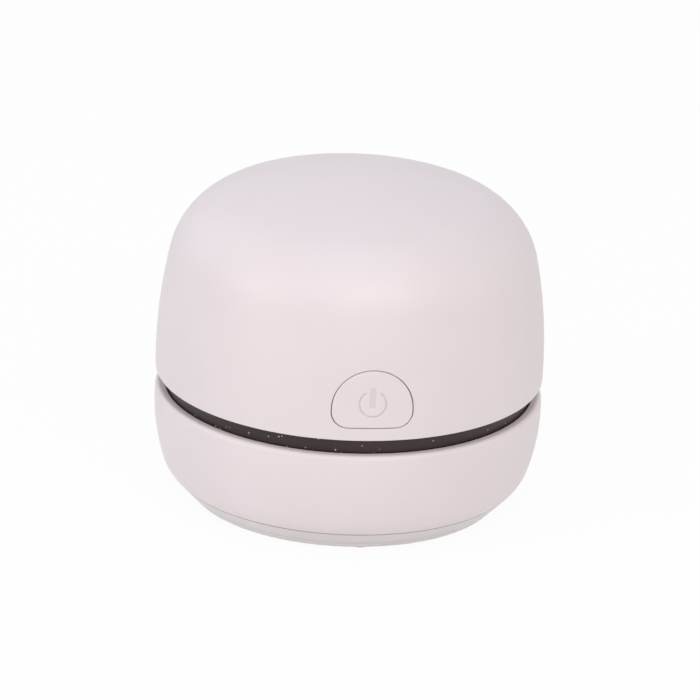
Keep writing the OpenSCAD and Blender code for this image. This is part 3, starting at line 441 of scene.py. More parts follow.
def moulded_milky_abs(paint, foot, seam):
    """Unpainted, slightly clear ABS, moulded with a finer polish, between the heights of its foot and its seam.

    Light goes a little way in, so it looks greyer and milkier than the shells. Painted shade darkens the groove at the
    seam to a grey line, and a fainter line of painted shade lies where the mould's two halves met, near the foot.
    Below that line the foot is painted a little lighter, against the shade near the floor.
    """
    parting, parting_width, blur = foot + 0.0011, 0.0005, 0.0001
    groove, groove_blur = seam - 0.0003, 0.00002
    above, parting_painted_shade, groove_painted_shade = 0.95, 0.86, 0.5
    material, tree, shader, place = new_finish("moulded_milky_abs", clouded(0.0015, (1.0, 0.9, 0.9), 0.3))
    height = add(tree, "ShaderNodeSeparateXYZ", {"Vector": place}).outputs["Z"]
    rise = add(tree, "ShaderNodeMapRange", {"Value": height, "From Min": foot, "From Max": seam})
    lines = add(tree, "ShaderNodeValToRGB", {"Fac": rise.outputs["Result"]})
    stops = lines.color_ramp.elements
    # painted light: from the foot up to the parting line the paint stays whole, lighter than the 0.95 above, against
    # the shade near the floor
    stops[0].color = (1.0, 1.0, 1.0, 1.0)
    for at, share in (
        (parting, 1.0),
        # painted shade: a fainter dark line where the mould's two halves met, near the foot
        (parting + blur, parting_painted_shade),
        (parting + parting_width - blur, parting_painted_shade),
        (parting + parting_width, above),
        # painted shade: the seam's groove is darkened to a grey line
        (groove - groove_blur, above),
        (groove + groove_blur, groove_painted_shade),
    ):
        stop = stops.new((at - foot) / (seam - foot))
        stop.color = (share, share, share, 1.0)
    stops.remove(stops[-1])
    shaded = add(
        tree,
        "ShaderNodeMix",
        {0: 1.0, 6: mottled(tree, place, paint, 0.01, 1.0, 0.96), 7: lines.outputs["Color"]},
        data_type="RGBA",
        blend_type="MULTIPLY",
    )
    feed(tree, shader, {"Base Color": shaded.outputs[2]})
    roughened(tree, shader, place, 0.0004, 0.32, 0.42, 0.000002)
    return material


def moulded_dark_abs(paint, dust):
    """Dark brown-grey ABS, moulded with a satin wall that has caught a little desk dust.

    The dust shows as pale specks up to 0.4 mm across, about ten to each square centimetre.
    """
    spacing, bare_share = 0.0013, 0.35
    solid, faded = 0.07, 0.16  # distances from a speck's middle, in spacings
    material, tree, shader, place = new_finish("moulded_dark_abs", PLASTIC)
    base = mottled(tree, place, paint, 0.012, 1.35, 0.75)
    cells = add(tree, "ShaderNodeTexVoronoi", {"Vector": place, "Scale": 1 / spacing})
    pick = add(tree, "ShaderNodeSeparateColor", {"Color": cells.outputs["Color"]})
    near = add(
        tree,
        "ShaderNodeMapRange",
        {"Value": cells.outputs["Distance"], "From Min": solid, "From Max": faded, "To Min": 1.0, "To Max": 0.0},
    )
    chosen = add(tree, "ShaderNodeMath", {0: pick.outputs["Red"], 1: bare_share}, operation="GREATER_THAN")
    speck = add(tree, "ShaderNodeMath", {0: near.outputs["Result"], 1: chosen.outputs["Value"]}, operation="MULTIPLY")
    dusted = add(tree, "ShaderNodeMix", {0: speck.outputs["Value"], 6: base, 7: dust}, data_type="RGBA")
    feed(tree, shader, {"Base Color": dusted.outputs[2]})
    roughened(tree, shader, place, 0.0005, 0.35, 0.5, 0.000006)
    return material


def moulded_grey_abs(paint):
    """Grey ABS from a matt tool: an even, dry face with small flow marks."""
    return plain_finish("moulded_grey_abs", PLASTIC, paint, (0.008, 1.05, 0.9), (0.0005, 0.5, 0.6, 0.000008))


def natural_nylon(paint):
    """Uncoloured nylon, moulded or drawn: milky, slightly clear and waxy."""
    finish = clouded(0.001, (1.0, 0.95, 0.85), 0.3)
    return plain_finish("natural_nylon", finish, paint, (0.004, 1.0, 0.93), (0.0006, 0.32, 0.45, 0.000004))


def moulded_rubber(paint):
    """Black rubber, moulded: matt, a little worn and pale where it rubs."""
    return plain_finish("moulded_rubber", {"IOR": 1.52}, paint, (0.002, 1.6, 0.8, 5.0), (0.0002, 0.7, 0.85, 0.00001))


def zinc_plated_steel():
    """Steel, zinc plated in a barrel: bright, faintly blue, with the fine clouds of the plating."""
    return plain_finish(
        "zinc_plated_steel", METAL, linear("C9CCD0"), (0.001, 1.0, 0.85), (0.00015, 0.22, 0.38, 0.000003)
    )


def drawn_can_steel():
    """Deep-drawn steel, nickel plated: upright draw marks 0.3 mm apart run up the can."""
    spacing, upright = 0.0003, 0.06
    material, tree, shader, place = new_finish("drawn_can_steel", METAL)
    stretched = add(tree, "ShaderNodeMapping", {"Vector": place, "Scale": (1.0, 1.0, upright)})
    marks = add(
        tree, "ShaderNodeTexNoise", {"Vector": stretched.outputs["Vector"], "Scale": 1 / spacing, "Detail": 4.0}
    )
    shine = add(tree, "ShaderNodeMapRange", {"Value": marks.outputs["Fac"], "To Min": 0.2, "To Max": 0.42})
    bump = add(tree, "ShaderNodeBump", {"Height": marks.outputs["Fac"], "Distance": 0.000004})
    paint = mottled(tree, place, linear("BFC0C2"), 0.006, 1.0, 0.9)
    feed(tree, shader, {"Base Color": paint, "Roughness": shine.outputs["Result"], "Normal": bump.outputs["Normal"]})
    return material


def nickel_plated_sheet():
    """Thin sheet, nickel plated: smooth and warm grey, with fine rolling marks."""
    return plain_finish(
        "nickel_plated_sheet", METAL, linear("CFCBC2"), (0.002, 1.0, 0.9), (0.0002, 0.18, 0.3, 0.000002)
    )


def sintered_bronze():
    """Sintered bronze, pressed and oiled: dull gold with open pores near 0.1 mm."""
    return plain_finish(
        "sintered_bronze", METAL, linear("B08A50"), (0.0004, 1.0, 0.7, 4.0), (0.0001, 0.35, 0.5, 0.000008)
    )


def stamped_brass():
    """Brass sheet, stamped: yellow and bright, a little tarnished."""
    return plain_finish("stamped_brass", METAL, linear("D2B060"), (0.0015, 1.0, 0.8), (0.0002, 0.25, 0.4, 0.000003))


def enamelled_copper(paint):
    """Copper wire 0.2 mm thick under clear enamel, wound in layers: fine rows, with painted shade darkening the gaps
    between them.
    """
    wire, gap_depth = 0.0002, 0.00005
    material, tree, shader, place = new_finish("enamelled_copper", METAL)
    rows = add(
        tree,
        "ShaderNodeTexWave",
        {"Vector": place, "Scale": WAVE_SPACING / wire, "Distortion": 0.6, "Detail": 1.0},
        wave_type="RINGS",
        rings_direction="Z",
    )
    shades = add(tree, "ShaderNodeValToRGB", {"Fac": rows.outputs["Fac"]})
    # painted shade: the gaps between the turns drop to 0.35 of the copper's colour
    shades.color_ramp.elements[0].color = shade(paint, 0.35)
    shades.color_ramp.elements[1].color = paint
    bump = add(tree, "ShaderNodeBump", {"Height": rows.outputs["Fac"], "Distance": gap_depth})
    feed(tree, shader, {"Base Color": shades.outputs["Color"], "Roughness": 0.28, "Normal": bump.outputs["Normal"]})
    return material


def turned_copper(paint):
    """Copper bars, turned on a lathe: fine rings 0.1 mm apart where the brushes run."""
    spacing, depth = 0.0001, 0.000008
    material, tree, shader, place = new_finish("turned_copper", METAL)
    rings = add(tree, "ShaderNodeTexWave", {"Vector": place, "Scale": WAVE_SPACING / spacing}, bands_direction="Z")
    bump = add(tree, "ShaderNodeBump", {"Height": rings.outputs["Fac"], "Distance": depth})
    worn = mottled(tree, place, paint, 0.001, 1.0, 0.75)
    feed(tree, shader, {"Base Color": worn, "Roughness": 0.25, "Normal": bump.outputs["Normal"]})
    return material


def pressed_ferrite():
    """Ferrite and carbon, pressed and fired: nearly black, dry and slightly grainy."""
    return plain_finish(
        "pressed_ferrite", {"IOR": 1.6}, linear("3A3A3E"), (0.0006, 1.2, 0.7, 5.0), (0.00015, 0.55, 0.75, 0.00001)
    )


def shrink_sleeve(paint):
    """PVC sleeve, shrunk on hot: glossy, thin, and slightly rippled over the can."""
    return plain_finish("shrink_sleeve", PLASTIC, paint, (0.006, 1.1, 0.9), (0.0025, 0.16, 0.26, 0.00003))


def solder_mask(paint):
    """Glass-epoxy board under green solder mask: copper tracks 0.3 mm wide show through as a lighter green."""
    material, tree, shader, place = new_finish("solder_mask", {"IOR": 1.55})
    tracks = add(
        tree,
        "ShaderNodeTexBrick",
        {
            "Vector": place,
            "Color1": shade(paint, 0.8),
            "Color2": shade(paint, 1.1),
            "Mortar": shade(paint, 1.9),
            "Scale": 1.0,
            "Mortar Size": 0.00015,
            "Brick Width": 0.0042,
            "Row Height": 0.0014,
        },
    )
    bump = add(tree, "ShaderNodeBump", {"Height": tracks.outputs["Fac"], "Distance": 0.00003, "Strength": 0.6})
    feed(tree, shader, {"Base Color": tracks.outputs["Color"], "Roughness": 0.3, "Normal": bump.outputs["Normal"]})
    return material


def needled_felt(paint):
    """Polyester felt, needled and heat pressed: dull white fibres, matted, with pressed points 1.6 mm apart."""
    fibre, pressed_spacing, depth = 0.0005, 0.0016, 0.00012
    settings = {"IOR": 1.5, "Sheen Weight": 0.3, "Sheen Roughness": 0.5}
    material, tree, shader, place = new_finish("needled_felt", settings)
    fibres = add(
        tree,
        "ShaderNodeTexNoise",
        {"Vector": place, "Scale": 1 / fibre, "Detail": 6.0, "Roughness": 0.7, "Distortion": 2.0},
    )
    points = add(tree, "ShaderNodeTexVoronoi", {"Vector": place, "Scale": 1 / pressed_spacing, "Randomness": 0.2})
    heights = add(tree, "ShaderNodeMath", {0: fibres.outputs["Fac"], 1: points.outputs["Distance"]}, operation="ADD")
    bump = add(tree, "ShaderNodeBump", {"Height": heights.outputs["Value"], "Distance": depth})
    shades = add(tree, "ShaderNodeValToRGB", {"Fac": fibres.outputs["Fac"]})
    shades.color_ramp.elements[0].color = shade(paint, 0.72)
    shades.color_ramp.elements[1].color = paint
    feed(tree, shader, {"Base Color": shades.outputs["Color"], "Roughness": 0.95, "Normal": bump.outputs["Normal"]})
    return material


def extruded_pvc(name, paint):
    """PVC insulation, extruded over the strands: even colour, a soft shine and faint lengthwise waves."""
    return plain_finish(name, PLASTIC, paint, (0.003, 1.1, 0.85), (0.0008, 0.3, 0.42, 0.000006))


def clear_acrylic():
    """Clear acrylic, moulded: a polished light guide with a trace of green at its edges."""
    finish = {"IOR": 1.49, "Transmission Weight": 0.9}
    return plain_finish("clear_acrylic", finish, linear("EAF3EE"), (0.001, 1.0, 0.97), (0.0004, 0.05, 0.12, 0.000001))


def black_switch_nylon():
    """Black glass-filled nylon, moulded: dark, with the dull streaks that the glass leaves."""
    return plain_finish(
        "black_switch_nylon", PLASTIC, linear("202124"), (0.001, 1.5, 0.8, 4.0), (0.0003, 0.45, 0.6, 0.000008)
    )


# ---- The dome ----
def side_radius(sizes, z, depth=0.0):
    """Radius of the dome's side at a height, some depth below its face."""
    reach = z - sizes.lip - sizes.waist_rise
    return sizes.radius - sizes.side_curve + math.sqrt((sizes.side_curve - depth) ** 2 - reach**2)


def on_side(sizes, facing, across, z, depth):
    """The point of the dome's side that is seen straight on at across, right of the middle, and z, some depth in."""
    radius = side_radius(sizes, z)
    out = math.sqrt(radius**2 - across**2) - depth
    turn = math.radians(facing)
    return Vector((out * math.cos(turn) - across * math.sin(turn), out * math.sin(turn) + across * math.cos(turn), z))


def dome_rows(sizes, depth, side_rows):
    """The dome's outline from the top of its side to its crown, some depth below its face."""
    side = (sizes.radius - sizes.side_curve, sizes.lip + sizes.waist_rise)
    crown = (0.0, sizes.crown - sizes.crown_curve)
    shoulder = upper_meeting(
        side, sizes.side_curve - sizes.shoulder_curve, crown, sizes.crown_curve - sizes.shoulder_curve
    )
    side_end, crown_start = bearing(side, shoulder), bearing(crown, shoulder)
    side_top = shoulder[1] + sizes.shoulder_curve * math.sin(math.radians(side_end))
    shoulder_steps, crown_steps = 26, 24
    first = sizes.lip + sizes.lip_round
    heights = [first + (side_top - first) * i / side_rows for i in range(side_rows)]
    rows = [(side_radius(sizes, z, depth), z) for z in heights]
    rows += arc(shoulder, sizes.shoulder_curve - depth, side_end, crown_start, shoulder_steps)
    rows += arc(crown, sizes.crown_curve - depth, crown_start, 90, crown_steps)[1:-1]
    return rows + [(0.0, sizes.crown - depth)]


class Opening:
    """An opening through the dome's side, with a rounded lip.

    Its columns are the two of the shell's lines that it lies between, counted from the one that it faces.
    """

    def __init__(self, facing, centre, outline, columns, lip):
        self.facing, self.centre, self.outline, self.columns, self.lip = facing, centre, outline, columns, lip

    def edge(self, towards, grow):
        """Points of the outline grown by a margin, one for each bearing from the centre."""
        reach = reach_of(self.outline(grow), (0.0, 0.0))
        return [(self.centre[0] + reach(t) * math.cos(t), self.centre[1] + reach(t) * math.sin(t)) for t in towards]


def pierced_side(skin, sizes, rows, openings, depth):
    """Lays the dome's face, or its inside where depth isn't 0, and gives each opening's inner loop and bearings."""
    grid = []
    for radius, z in rows:
        count = 1 if radius < ON_AXIS else LINES_ROUND
        turns = [math.radians(FRONT + 360 * k / count) for k in range(count)]
        grid.append(skin.loop([around(radius, t, z) for t in turns]))
    left_out = {}
    for opening in openings:
        middle = round((opening.facing - FRONT) * LINES_ROUND / 360)
        heights = [z for _, z in opening.outline(OPENING_MARGIN)]
        bottom = max(i for i, row in enumerate(rows) if row[1] <= opening.centre[1] + min(heights))
        top = min(i for i, row in enumerate(rows) if row[1] >= opening.centre[1] + max(heights))
        left_out[opening] = (middle + opening.columns[0], middle + opening.columns[1], bottom, top)
    for i, (lower, upper) in enumerate(zip(grid, grid[1:])):
        if len(upper) == 1:
            skin.band(lower, upper)
            continue
        for k in range(LINES_ROUND):
            if any(
                bottom <= i < top and (k - left) % LINES_ROUND < right - left
                for left, right, bottom, top in left_out.values()
            ):
                continue
            n = (k + 1) % LINES_ROUND
            skin.faces.append((lower[k], lower[n], upper[n], upper[k]))
    inner_loops = []
    for opening, (left, right, bottom, top) in left_out.items():
        across = list(range(left, right))
        border = [(bottom, k) for k in across] + [(i, right) for i in range(bottom, top)]
        border += [(top, k + 1) for k in reversed(across)] + [(i + 1, left) for i in reversed(range(bottom, top))]
        outer = [grid[i][k % LINES_ROUND] for i, k in border]
        turn = math.radians(opening.facing)
        flat = [
            (-skin.points[p].x * math.sin(turn) + skin.points[p].y * math.cos(turn), skin.points[p].z) for p in outer
        ]
        towards = [math.atan2(z - opening.centre[1], u - opening.centre[0]) for u, z in flat]
        edge = opening.edge(towards, opening.lip if depth == 0 else 0.0)
        loops = [outer]
        for share in (0.7, 0.45, 0.25, 0.1, 0.0):
            between = [(e[0] + (f[0] - e[0]) * share, e[1] + (f[1] - e[1]) * share) for e, f in zip(edge, flat)]
            loops.append(skin.loop([on_side(sizes, opening.facing, u, z, depth) for u, z in between]))
        skin.strip(loops)
        inner_loops.append((opening, loops[-1], towards))
    return grid, inner_loops


def build_dome(sizes, button, finish):
    """The dome: one shell, with the button's D-shaped opening in front and the socket's and lamp's behind."""
    socket_low, socket_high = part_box("usb_socket")
    socket = ((socket_low.x + socket_high.x) / 2, (socket_low.z + socket_high.z) / 2)
    socket_width, socket_height = socket_high.x - socket_low.x, socket_high.z - socket_low.z
    lens_low, lens_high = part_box("led_lens")
    lens = ((lens_low.x + lens_high.x) / 2, socket[1])
    socket_gap, lens_hole = 0.00025, 0.00105
    openings = [
        Opening(
            FRONT,
            (0.0, sizes.lip + button.rise),
            lambda g: d_outline(button, button.gap + g),
            columns=(-15, 15),
            lip=0.0001,
        ),
        Opening(
            REAR,
            (-socket[0], socket[1]),
            lambda g: slot_outline(socket_width, socket_height, socket_gap + g),
            columns=(-8, 8),
            lip=0.0002,
        ),
        Opening(
            REAR,
            (-lens[0], lens[1]),
            lambda g: arc((0, 0), lens_hole + g, 0, 360, 60)[:-1],
            columns=(-14, -8),
            lip=0.0001,
        ),
    ]
    skin = Skin()
    side_rows = 34
    outer_rows = dome_rows(sizes, 0.0, side_rows)
    first_radius = side_radius(sizes, sizes.lip + sizes.lip_round)
    lip = arc((first_radius - sizes.lip_round, sizes.lip + sizes.lip_round), sizes.lip_round, -90, 0, 5)[:-1]
    outer, fronts = pierced_side(skin, sizes, outer_rows, openings, 0.0)
    inner_rows = dome_rows(sizes, sizes.wall, side_rows)
    inner, backs = pierced_side(skin, sizes, inner_rows, openings, sizes.wall)
    bevel = 0.00015
    turns = [math.radians(FRONT + 360 * k / LINES_ROUND) for k in range(LINES_ROUND)]
    lip_loops = []
    for radius, z in [(sizes.collar, sizes.lip + bevel), (sizes.collar + bevel, sizes.lip)] + lip:
        lip_loops.append(skin.loop([around(radius, t, z) for t in turns]))
    skin.strip([inner[0]] + lip_loops + [outer[0]])
    for (opening, front, towards), (_, back, _) in zip(fronts, backs):
        loops = [front]
        for turn, depth in [(22.5, None), (45, None), (67.5, None), (90, None), (90, sizes.wall / 2)]:
            slope = math.radians(turn)
            edge = opening.edge(towards, opening.lip * (1 - math.sin(slope)))
            sunk = opening.lip * (1 - math.cos(slope)) if depth is None else depth
            loops.append(skin.loop([on_side(sizes, opening.facing, u, z, sunk) for u, z in edge]))
        skin.strip(loops + [back])
    skin.piece("dome", "power_head", "white_abs", finish, "top_shell")
    build_dome_bosses(finish)


def build_dome_bosses(finish):
    """The four bosses that the housing's screws hold in, each with a rib to the dome's wall."""
    ring, boss_turn = 0.034543, math.radians(62)
    radius, bore, bore_end = 0.0026, 0.001, 0.001
    rib_start, rib_end, rib_half = 0.0024, 0.0055, 0.0008
    low, high = (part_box("motor_plate")[0].z + rise for rise in (0.0016, 0.0131))
    boss = [(0.0, high), (radius, high), (radius, low), (bore, low), (bore, high - bore_end), (0.0, high - bore_end)]
    skin = Skin()
    for side in (-1, 1):
        for end in (-1, 1):
            turn = math.atan2(end * math.sin(boss_turn), side * math.cos(boss_turn))
            place = Matrix.Rotation(turn, 4, "Z") @ Matrix.Translation((ring, 0, 0))
            skin.lathe(softened(boss, SMALL_EDGE), BOSS_LINES, False, place)
            skin.block((rib_start, -rib_half, low), (rib_end, rib_half, high), place)
    skin.piece("dome_bosses", "power_head", "white_abs", finish)


# ---- The button ----
SYMBOL_RISE = 0.00135  # of the power symbol's middle above the button's centre


def symbol_depth(sizes, across, up):
    """Depth of the power symbol at a point of the button's face: a broken ring with a bar."""
    ring_up, groove, opening = SYMBOL_RISE, 0.00032, math.radians(33)
    bar_half, bar_low, bar_high, edge = 0.000625, 0.00042, 0.00492, 0.00006
    away = math.hypot(across, up - ring_up)
    turn = abs(math.atan2(across, up - ring_up))
    on_ring = min(groove / 2 - abs(away - sizes.symbol_radius), (turn - opening) * sizes.symbol_radius)
    on_bar = min(bar_half - abs(across), up - bar_low, bar_high - up)
    depth = 0.0
    for inside, full in ((on_ring, sizes.groove_depth), (on_bar, sizes.bar_depth)):
        share = min(1.0, max(0.0, inside / edge * 0.5 + 0.5))
        depth = max(depth, full * share * share * (3 - 2 * share))
    return depth


def build_button(dome, sizes, finish, shaded_sunk_finish):
    """The button's cap with its rounded edge and sunk symbol, its flange behind the dome, and its stem."""
    skin = Skin()
    count = 240
    centre = (0.0, SYMBOL_RISE)
    flange_width, flange_thick, rim_wall, cap_thick = 0.0012, 0.001, 0.0014, 0.0018
    flange_gap, foot_trim = 0.0003, 0.0004
    stem_radius, stem_sunk, stem_lines = 0.0021, 0.0016, 48
    front_reach = 0.002  # how far behind the dome's face the cap's own face may lie
    towards = even_turns(count)
    height = dome.lip + sizes.rise
    rim = reach_of(d_outline(sizes, -sizes.edge), centre)

    def lay(distances, depth):
        points = []
        for t, reach in zip(towards, distances):
            across, up = centre[0] + reach * math.cos(t), centre[1] + reach * math.sin(t)
            sunk = depth if depth is not None else symbol_depth(sizes, across, up)
            points.append(on_side(dome, FRONT, across, height + up, sunk))
        return skin.loop(points)

    inner_disc, disc_rings, face_rings = 0.0038, 50, 14
    loops = [skin.loop([on_side(dome, FRONT, centre[0], height + centre[1], symbol_depth(sizes, *centre))])]
    loops += [lay([inner_disc * i / disc_rings] * count, None) for i in range(1, disc_rings + 1)]
    for i in range(1, face_rings + 1):
        share = i / face_rings
        loops.append(lay([inner_disc + (rim(t) - inner_disc) * share for t in towards], 0.0))
    for turn in (22.5, 45, 67.5, 90):
        slope = math.radians(turn)
        edge = reach_of(d_outline(sizes, sizes.edge * (math.sin(slope) - 1)), centre)
        loops.append(lay([edge(t) for t in towards], sizes.edge * (1 - math.cos(slope))))
    side = reach_of(d_outline(sizes, 0.0), centre)
    flange = reach_of(d_outline(sizes, flange_width), centre)
    hollow = reach_of(d_outline(sizes, -rim_wall), centre)
    foot = centre[1] + sizes.drop - foot_trim
    wide = [min(flange(t), foot / max(1e-6, -math.sin(t))) if math.sin(t) < 0 else flange(t) for t in towards]
    back = dome.wall + flange_gap
    for reaches, depth in (
        ([side(t) for t in towards], back / 2),
        ([side(t) for t in towards], back),
        (wide, back),
        (wide, back + flange_thick),
        ([hollow(t) for t in towards], back + flange_thick),
        ([hollow(t) for t in towards], cap_thick),
        ([hollow(t) / 2 for t in towards], cap_thick),
    ):
        loops.append(lay(reaches, depth))
    loops.append(skin.loop([on_side(dome, FRONT, centre[0], height + centre[1], cap_thick)]))
    skin.strip(loops)
    stem_front = -side_radius(dome, height, stem_sunk)
    stem_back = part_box("switch_plunger")[0].y
    along = Matrix.Translation((0, stem_back, height)) @ Matrix.Rotation(math.pi / 2, 4, "X")
    reach = stem_back - stem_front
    stem = [(0.0, 0.0), (stem_radius, 0.0), (stem_radius, reach), (0.0, reach)]
    skin.lathe(softened(stem, SMALL_EDGE), stem_lines, False, along)
    cap = skin.piece("button_cap", "button", "white_abs", finish, "power_button")
    cap.data.materials.append(shaded_sunk_finish)
    # the sunk symbol's faces take the finish painted darker, as shade in the sunk mark
    for face in cap.data.polygons:
        middle = face.center
        across, up = middle.x, middle.z - height
        in_front = middle.y < -side_radius(dome, height) + front_reach
        if in_front and symbol_depth(sizes, across, up) > sizes.bar_depth / 2:
            face.material_index = 1


# ---- The bowl ----
def build_bowl(sizes, finish):
    """The bowl: one turned shell with a rounded rim, a ledge for the filter and a chimney over the inlet."""
    inlet, recess = 0.0137, 0.0285
    ledge_thick, ledge_slope, edge = 0.0009, 0.0032, 0.00015
    boss_ring, boss_radius, boss_bore, boss_height, boss_lift = 0.0309, 0.0021, 0.001, 0.003, 0.0001
    waist = sizes.seam + sizes.waist_rise
    centre = (sizes.radius - sizes.curve, waist)
    corner_z = sizes.seam + sizes.corner * math.sin(sizes.corner_turn)
    corner_x = centre[0] + math.sqrt((sizes.curve - sizes.corner) ** 2 - (waist - corner_z) ** 2)
    corner = (corner_x, corner_z)
    corner_end = bearing(centre, corner)
    rim_outer = centre[0] + math.sqrt(sizes.curve**2 - (sizes.rim - waist) ** 2)
    rim_inner = rim_outer - sizes.rim_width
    ledge, ledge_inner = sizes.seam + sizes.ledge_rise, rim_inner - sizes.ledge_width
    channel_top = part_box("base_plate")[1].z
    floor = channel_top + sizes.wall
    chimney_top, chimney_outer = floor + sizes.chimney_height, inlet + sizes.chimney_wall
    inner = sizes.curve - sizes.wall
    rim_turn = math.degrees(math.asin((sizes.rim - sizes.rim_round - waist) / sizes.curve))
    ledge_turn = math.degrees(math.asin((ledge - ledge_slope - waist) / inner))
    floor_turn = math.asin((corner[1] - sizes.seam - sizes.wall) / (sizes.corner - sizes.wall))
    rim_centre = (rim_outer - sizes.rim_round, sizes.rim - sizes.rim_round)
    section = [(inlet, channel_top), (recess, channel_top), (recess, sizes.seam)]
    section += arc(corner, sizes.corner, -math.degrees(sizes.corner_turn), corner_end, 24)
    section += arc(centre, sizes.curve, corner_end, rim_turn, 40)[1:]
    section += arc(rim_centre, sizes.rim_round, rim_turn, 90, 10)[1:]
    section += [(rim_inner, sizes.rim), (rim_inner, ledge), (ledge_inner, ledge), (ledge_inner, ledge - ledge_thick)]
    section += arc(centre, inner, ledge_turn, corner_end, 16)
    section += arc(corner, sizes.corner - sizes.wall, corner_end, -math.degrees(floor_turn), 12)[1:]
    section += [(recess + sizes.wall, sizes.seam + sizes.wall), (recess + sizes.wall, floor)]
    section += [(chimney_outer, floor), (chimney_outer, chimney_top), (inlet, chimney_top)]
    skin = Skin()
    skin.lathe(softened(section, edge))
    foot, top = sizes.seam + boss_lift, floor + boss_height
    boss = [(boss_bore, foot), (boss_radius, foot), (boss_radius, top), (boss_bore, top)]
    for turn in (45, 135, 225, 315):
        place = Matrix.Rotation(math.radians(turn), 4, "Z") @ Matrix.Translation((boss_ring, 0, 0))
        skin.lathe(softened(boss, edge), BOSS_LINES, True, place)
    skin.piece("bowl", "dust_bin", "white_abs", finish, "dust_bowl")


# ---- The brush ----
def build_brush(sizes, finish):
    """Six curved strips: a moulded backing each, with two rows of tufts of fine drawn bristles."""
    backing_thick, backing_half, root_depth = 0.0018, 0.0029, 0.0002
    row_reach, strip_gap, bare_ends = 0.001, 6, 18  # the last two in degrees
    golden_turn = 2.39996  # in radians, which spreads the bristles evenly over a tuft
    filled, at_root, halfway = 0.88, 0.8, 0.9  # of the tuft's radius, and of a tip's distance from its middle
    stray_turn, tip_spread, leans, lean_halfway = 0.3, 0.0003, (0.05, 0.16), 0.3
    low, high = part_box("brush_strips")
    backing_low, backing_high = high.z - backing_thick, high.z
    inner, outer = sizes.ring - backing_half, sizes.ring + backing_half
    root_z = backing_low + root_depth
    rng = random.Random(7)
    backing, bristles = Skin(), Skin()
    strip_turn = 360 / sizes.strips
    arc_half = (strip_turn - strip_gap) / 2
    steps = 40
    corners = [(inner, backing_low), (outer, backing_low), (outer, backing_high), (inner, backing_high)]
    outline = softened(corners, SMALL_EDGE)
    for strip in range(sizes.strips):
        middle = strip * strip_turn
        loops = []
        for i in range(steps + 1):
            turn = math.radians(middle - arc_half + 2 * arc_half * i / steps)
            loops.append(backing.loop([around(r, turn, z) for r, z in outline]))
        backing.strip(loops)
        backing.faces.append(tuple(reversed(loops[0])))
        backing.faces.append(tuple(loops[-1]))
        for row in (-1, 1):
            radius = sizes.ring + row * row_reach
            step = math.degrees(sizes.pitch / radius)
            tufts = int((strip_turn - strip_gap - bare_ends) / step)
            for k in range(tufts + 1):
                root = around(radius, math.radians(middle + (k - tufts / 2 + row / 4) * step))
                for b in range(sizes.tufted):
                    away = sizes.tuft * filled * math.sqrt((b + 0.5) / sizes.tufted)
                    out = around(1.0, b * golden_turn + rng.uniform(-stray_turn, stray_turn))
                    tip_z = low.z + rng.uniform(0.0, tip_spread)
                    lean = out * away * rng.uniform(*leans)
                    route = [
                        root + out * away * at_root + Vector((0, 0, root_z)),
                        root + out * away * halfway + lean * lean_halfway + Vector((0, 0, (backing_low + tip_z) / 2)),
                        root + out * away + lean + Vector((0, 0, tip_z)),
                    ]
                    bristles.tube(route, sizes.bristle / 2, sides=4)
    backing.piece("brush_backings", "dust_bin", "bristle_nylon", finish, "brush_strips")
    bristles.piece("brush_bristles", "dust_bin", "bristle_nylon", finish)


# ---- The filter's cloth ----
def build_filter_cloth(finish):
    """A round of felt, held at its edge and by the frame's spokes, and a little slack between them."""
    low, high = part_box("filter_cloth")
    radius, middle = high.x, (low.z + high.z) / 2
    pressed, trimmed, spokes, sag = 0.9, 0.0015, 6, 0.00005  # the first two are shares of its thickness and radius
    half = (high.z - low.z) / 2 * pressed
    skin = Skin()
    lines, rings = 144, 40
    faces = []
    for side in (-1, 1):
        loops = []
        for i in range(rings + 1):
            reach = radius * (1 - trimmed) * i / rings
            points = []
            for turn in even_turns(lines if i else 1):
                slack = sag * math.cos(spokes * turn) * math.sin(math.pi * i / rings) ** 2
                points.append(around(reach, turn, middle + side * half + slack))
            loops.append(skin.loop(points))
        skin.strip(loops)
        faces.append(loops[-1])
    skin.band(faces[0], faces[1])
    cloth = skin.piece("filter_felt", "filter", "filter_cloth", finish, "filter_cloth")


# ---- The wires ----
def smooth_route(points, steps=8):
    """A smooth line through given points, in millimetres."""
    route = []
    held = [Vector(p) / 1000 for p in points]
    for i in range(len(held) - 1):
        a, b = held[max(i - 1, 0)], held[i]
        c, d = held[i + 1], held[min(i + 2, len(held) - 1)]
        for s in range(steps):
            t = s / steps
            route.append(b + 0.5 * t * (c - a + t * (2 * a - 5 * b + 4 * c - d + t * (3 * (b - c) + d - a))))
    return route + [held[-1]]


CELL_TO_BOARD = [
    (20.5, 21.8, 44.2), (20.5, 23.2, 44.2), (18.5, 23.4, 46.2), (14.5, 21.8, 46.4), (10.0, 27.5, 42.42),
    (7.0, 29.5, 39.02), (7.0, 29.5, 37.42),
]
BOARD_TO_SWITCH = [
    (-2.6, 23.1, 37.42), (-2.6, 23.1, 39.22), (-6.6, 19.8, 41.02), (-13.2, 12.375, 42.02), (-16.5, 0.0, 42.02),
    (-13.2, -13.2, 39.55), (-7.0, -25.2, 39.05), (-6.0, -28.6, 38.55), (-6.0, -30.2, 38.55),
]
SWITCH_TO_MOTOR = [
    (6.0, -30.2, 38.55), (6.0, -28.4, 38.55), (8.0, -21.45, 42.55), (10.725, -16.5, 48.0), (12.375, -9.075, 57.0),
    (12.8, -3.3, 64.0), (9.85, 0.0, 64.0), (8.25, 0.0, 64.0),
]
CELL_TO_BOARD_RETURN = [
    (20.5, -21.8, 44.2), (20.5, -23.2, 44.2), (19.0, -22.8, 47.2), (16.5, -13.8, 49.2), (16.0, 0.0, 49.2),
    (15.5, 14.85, 48.6), (6.0, 25.0, 43.92), (-5.0, 28.5, 41.92), (-7.0, 29.5, 39.02), (-7.0, 29.5, 37.42),
]
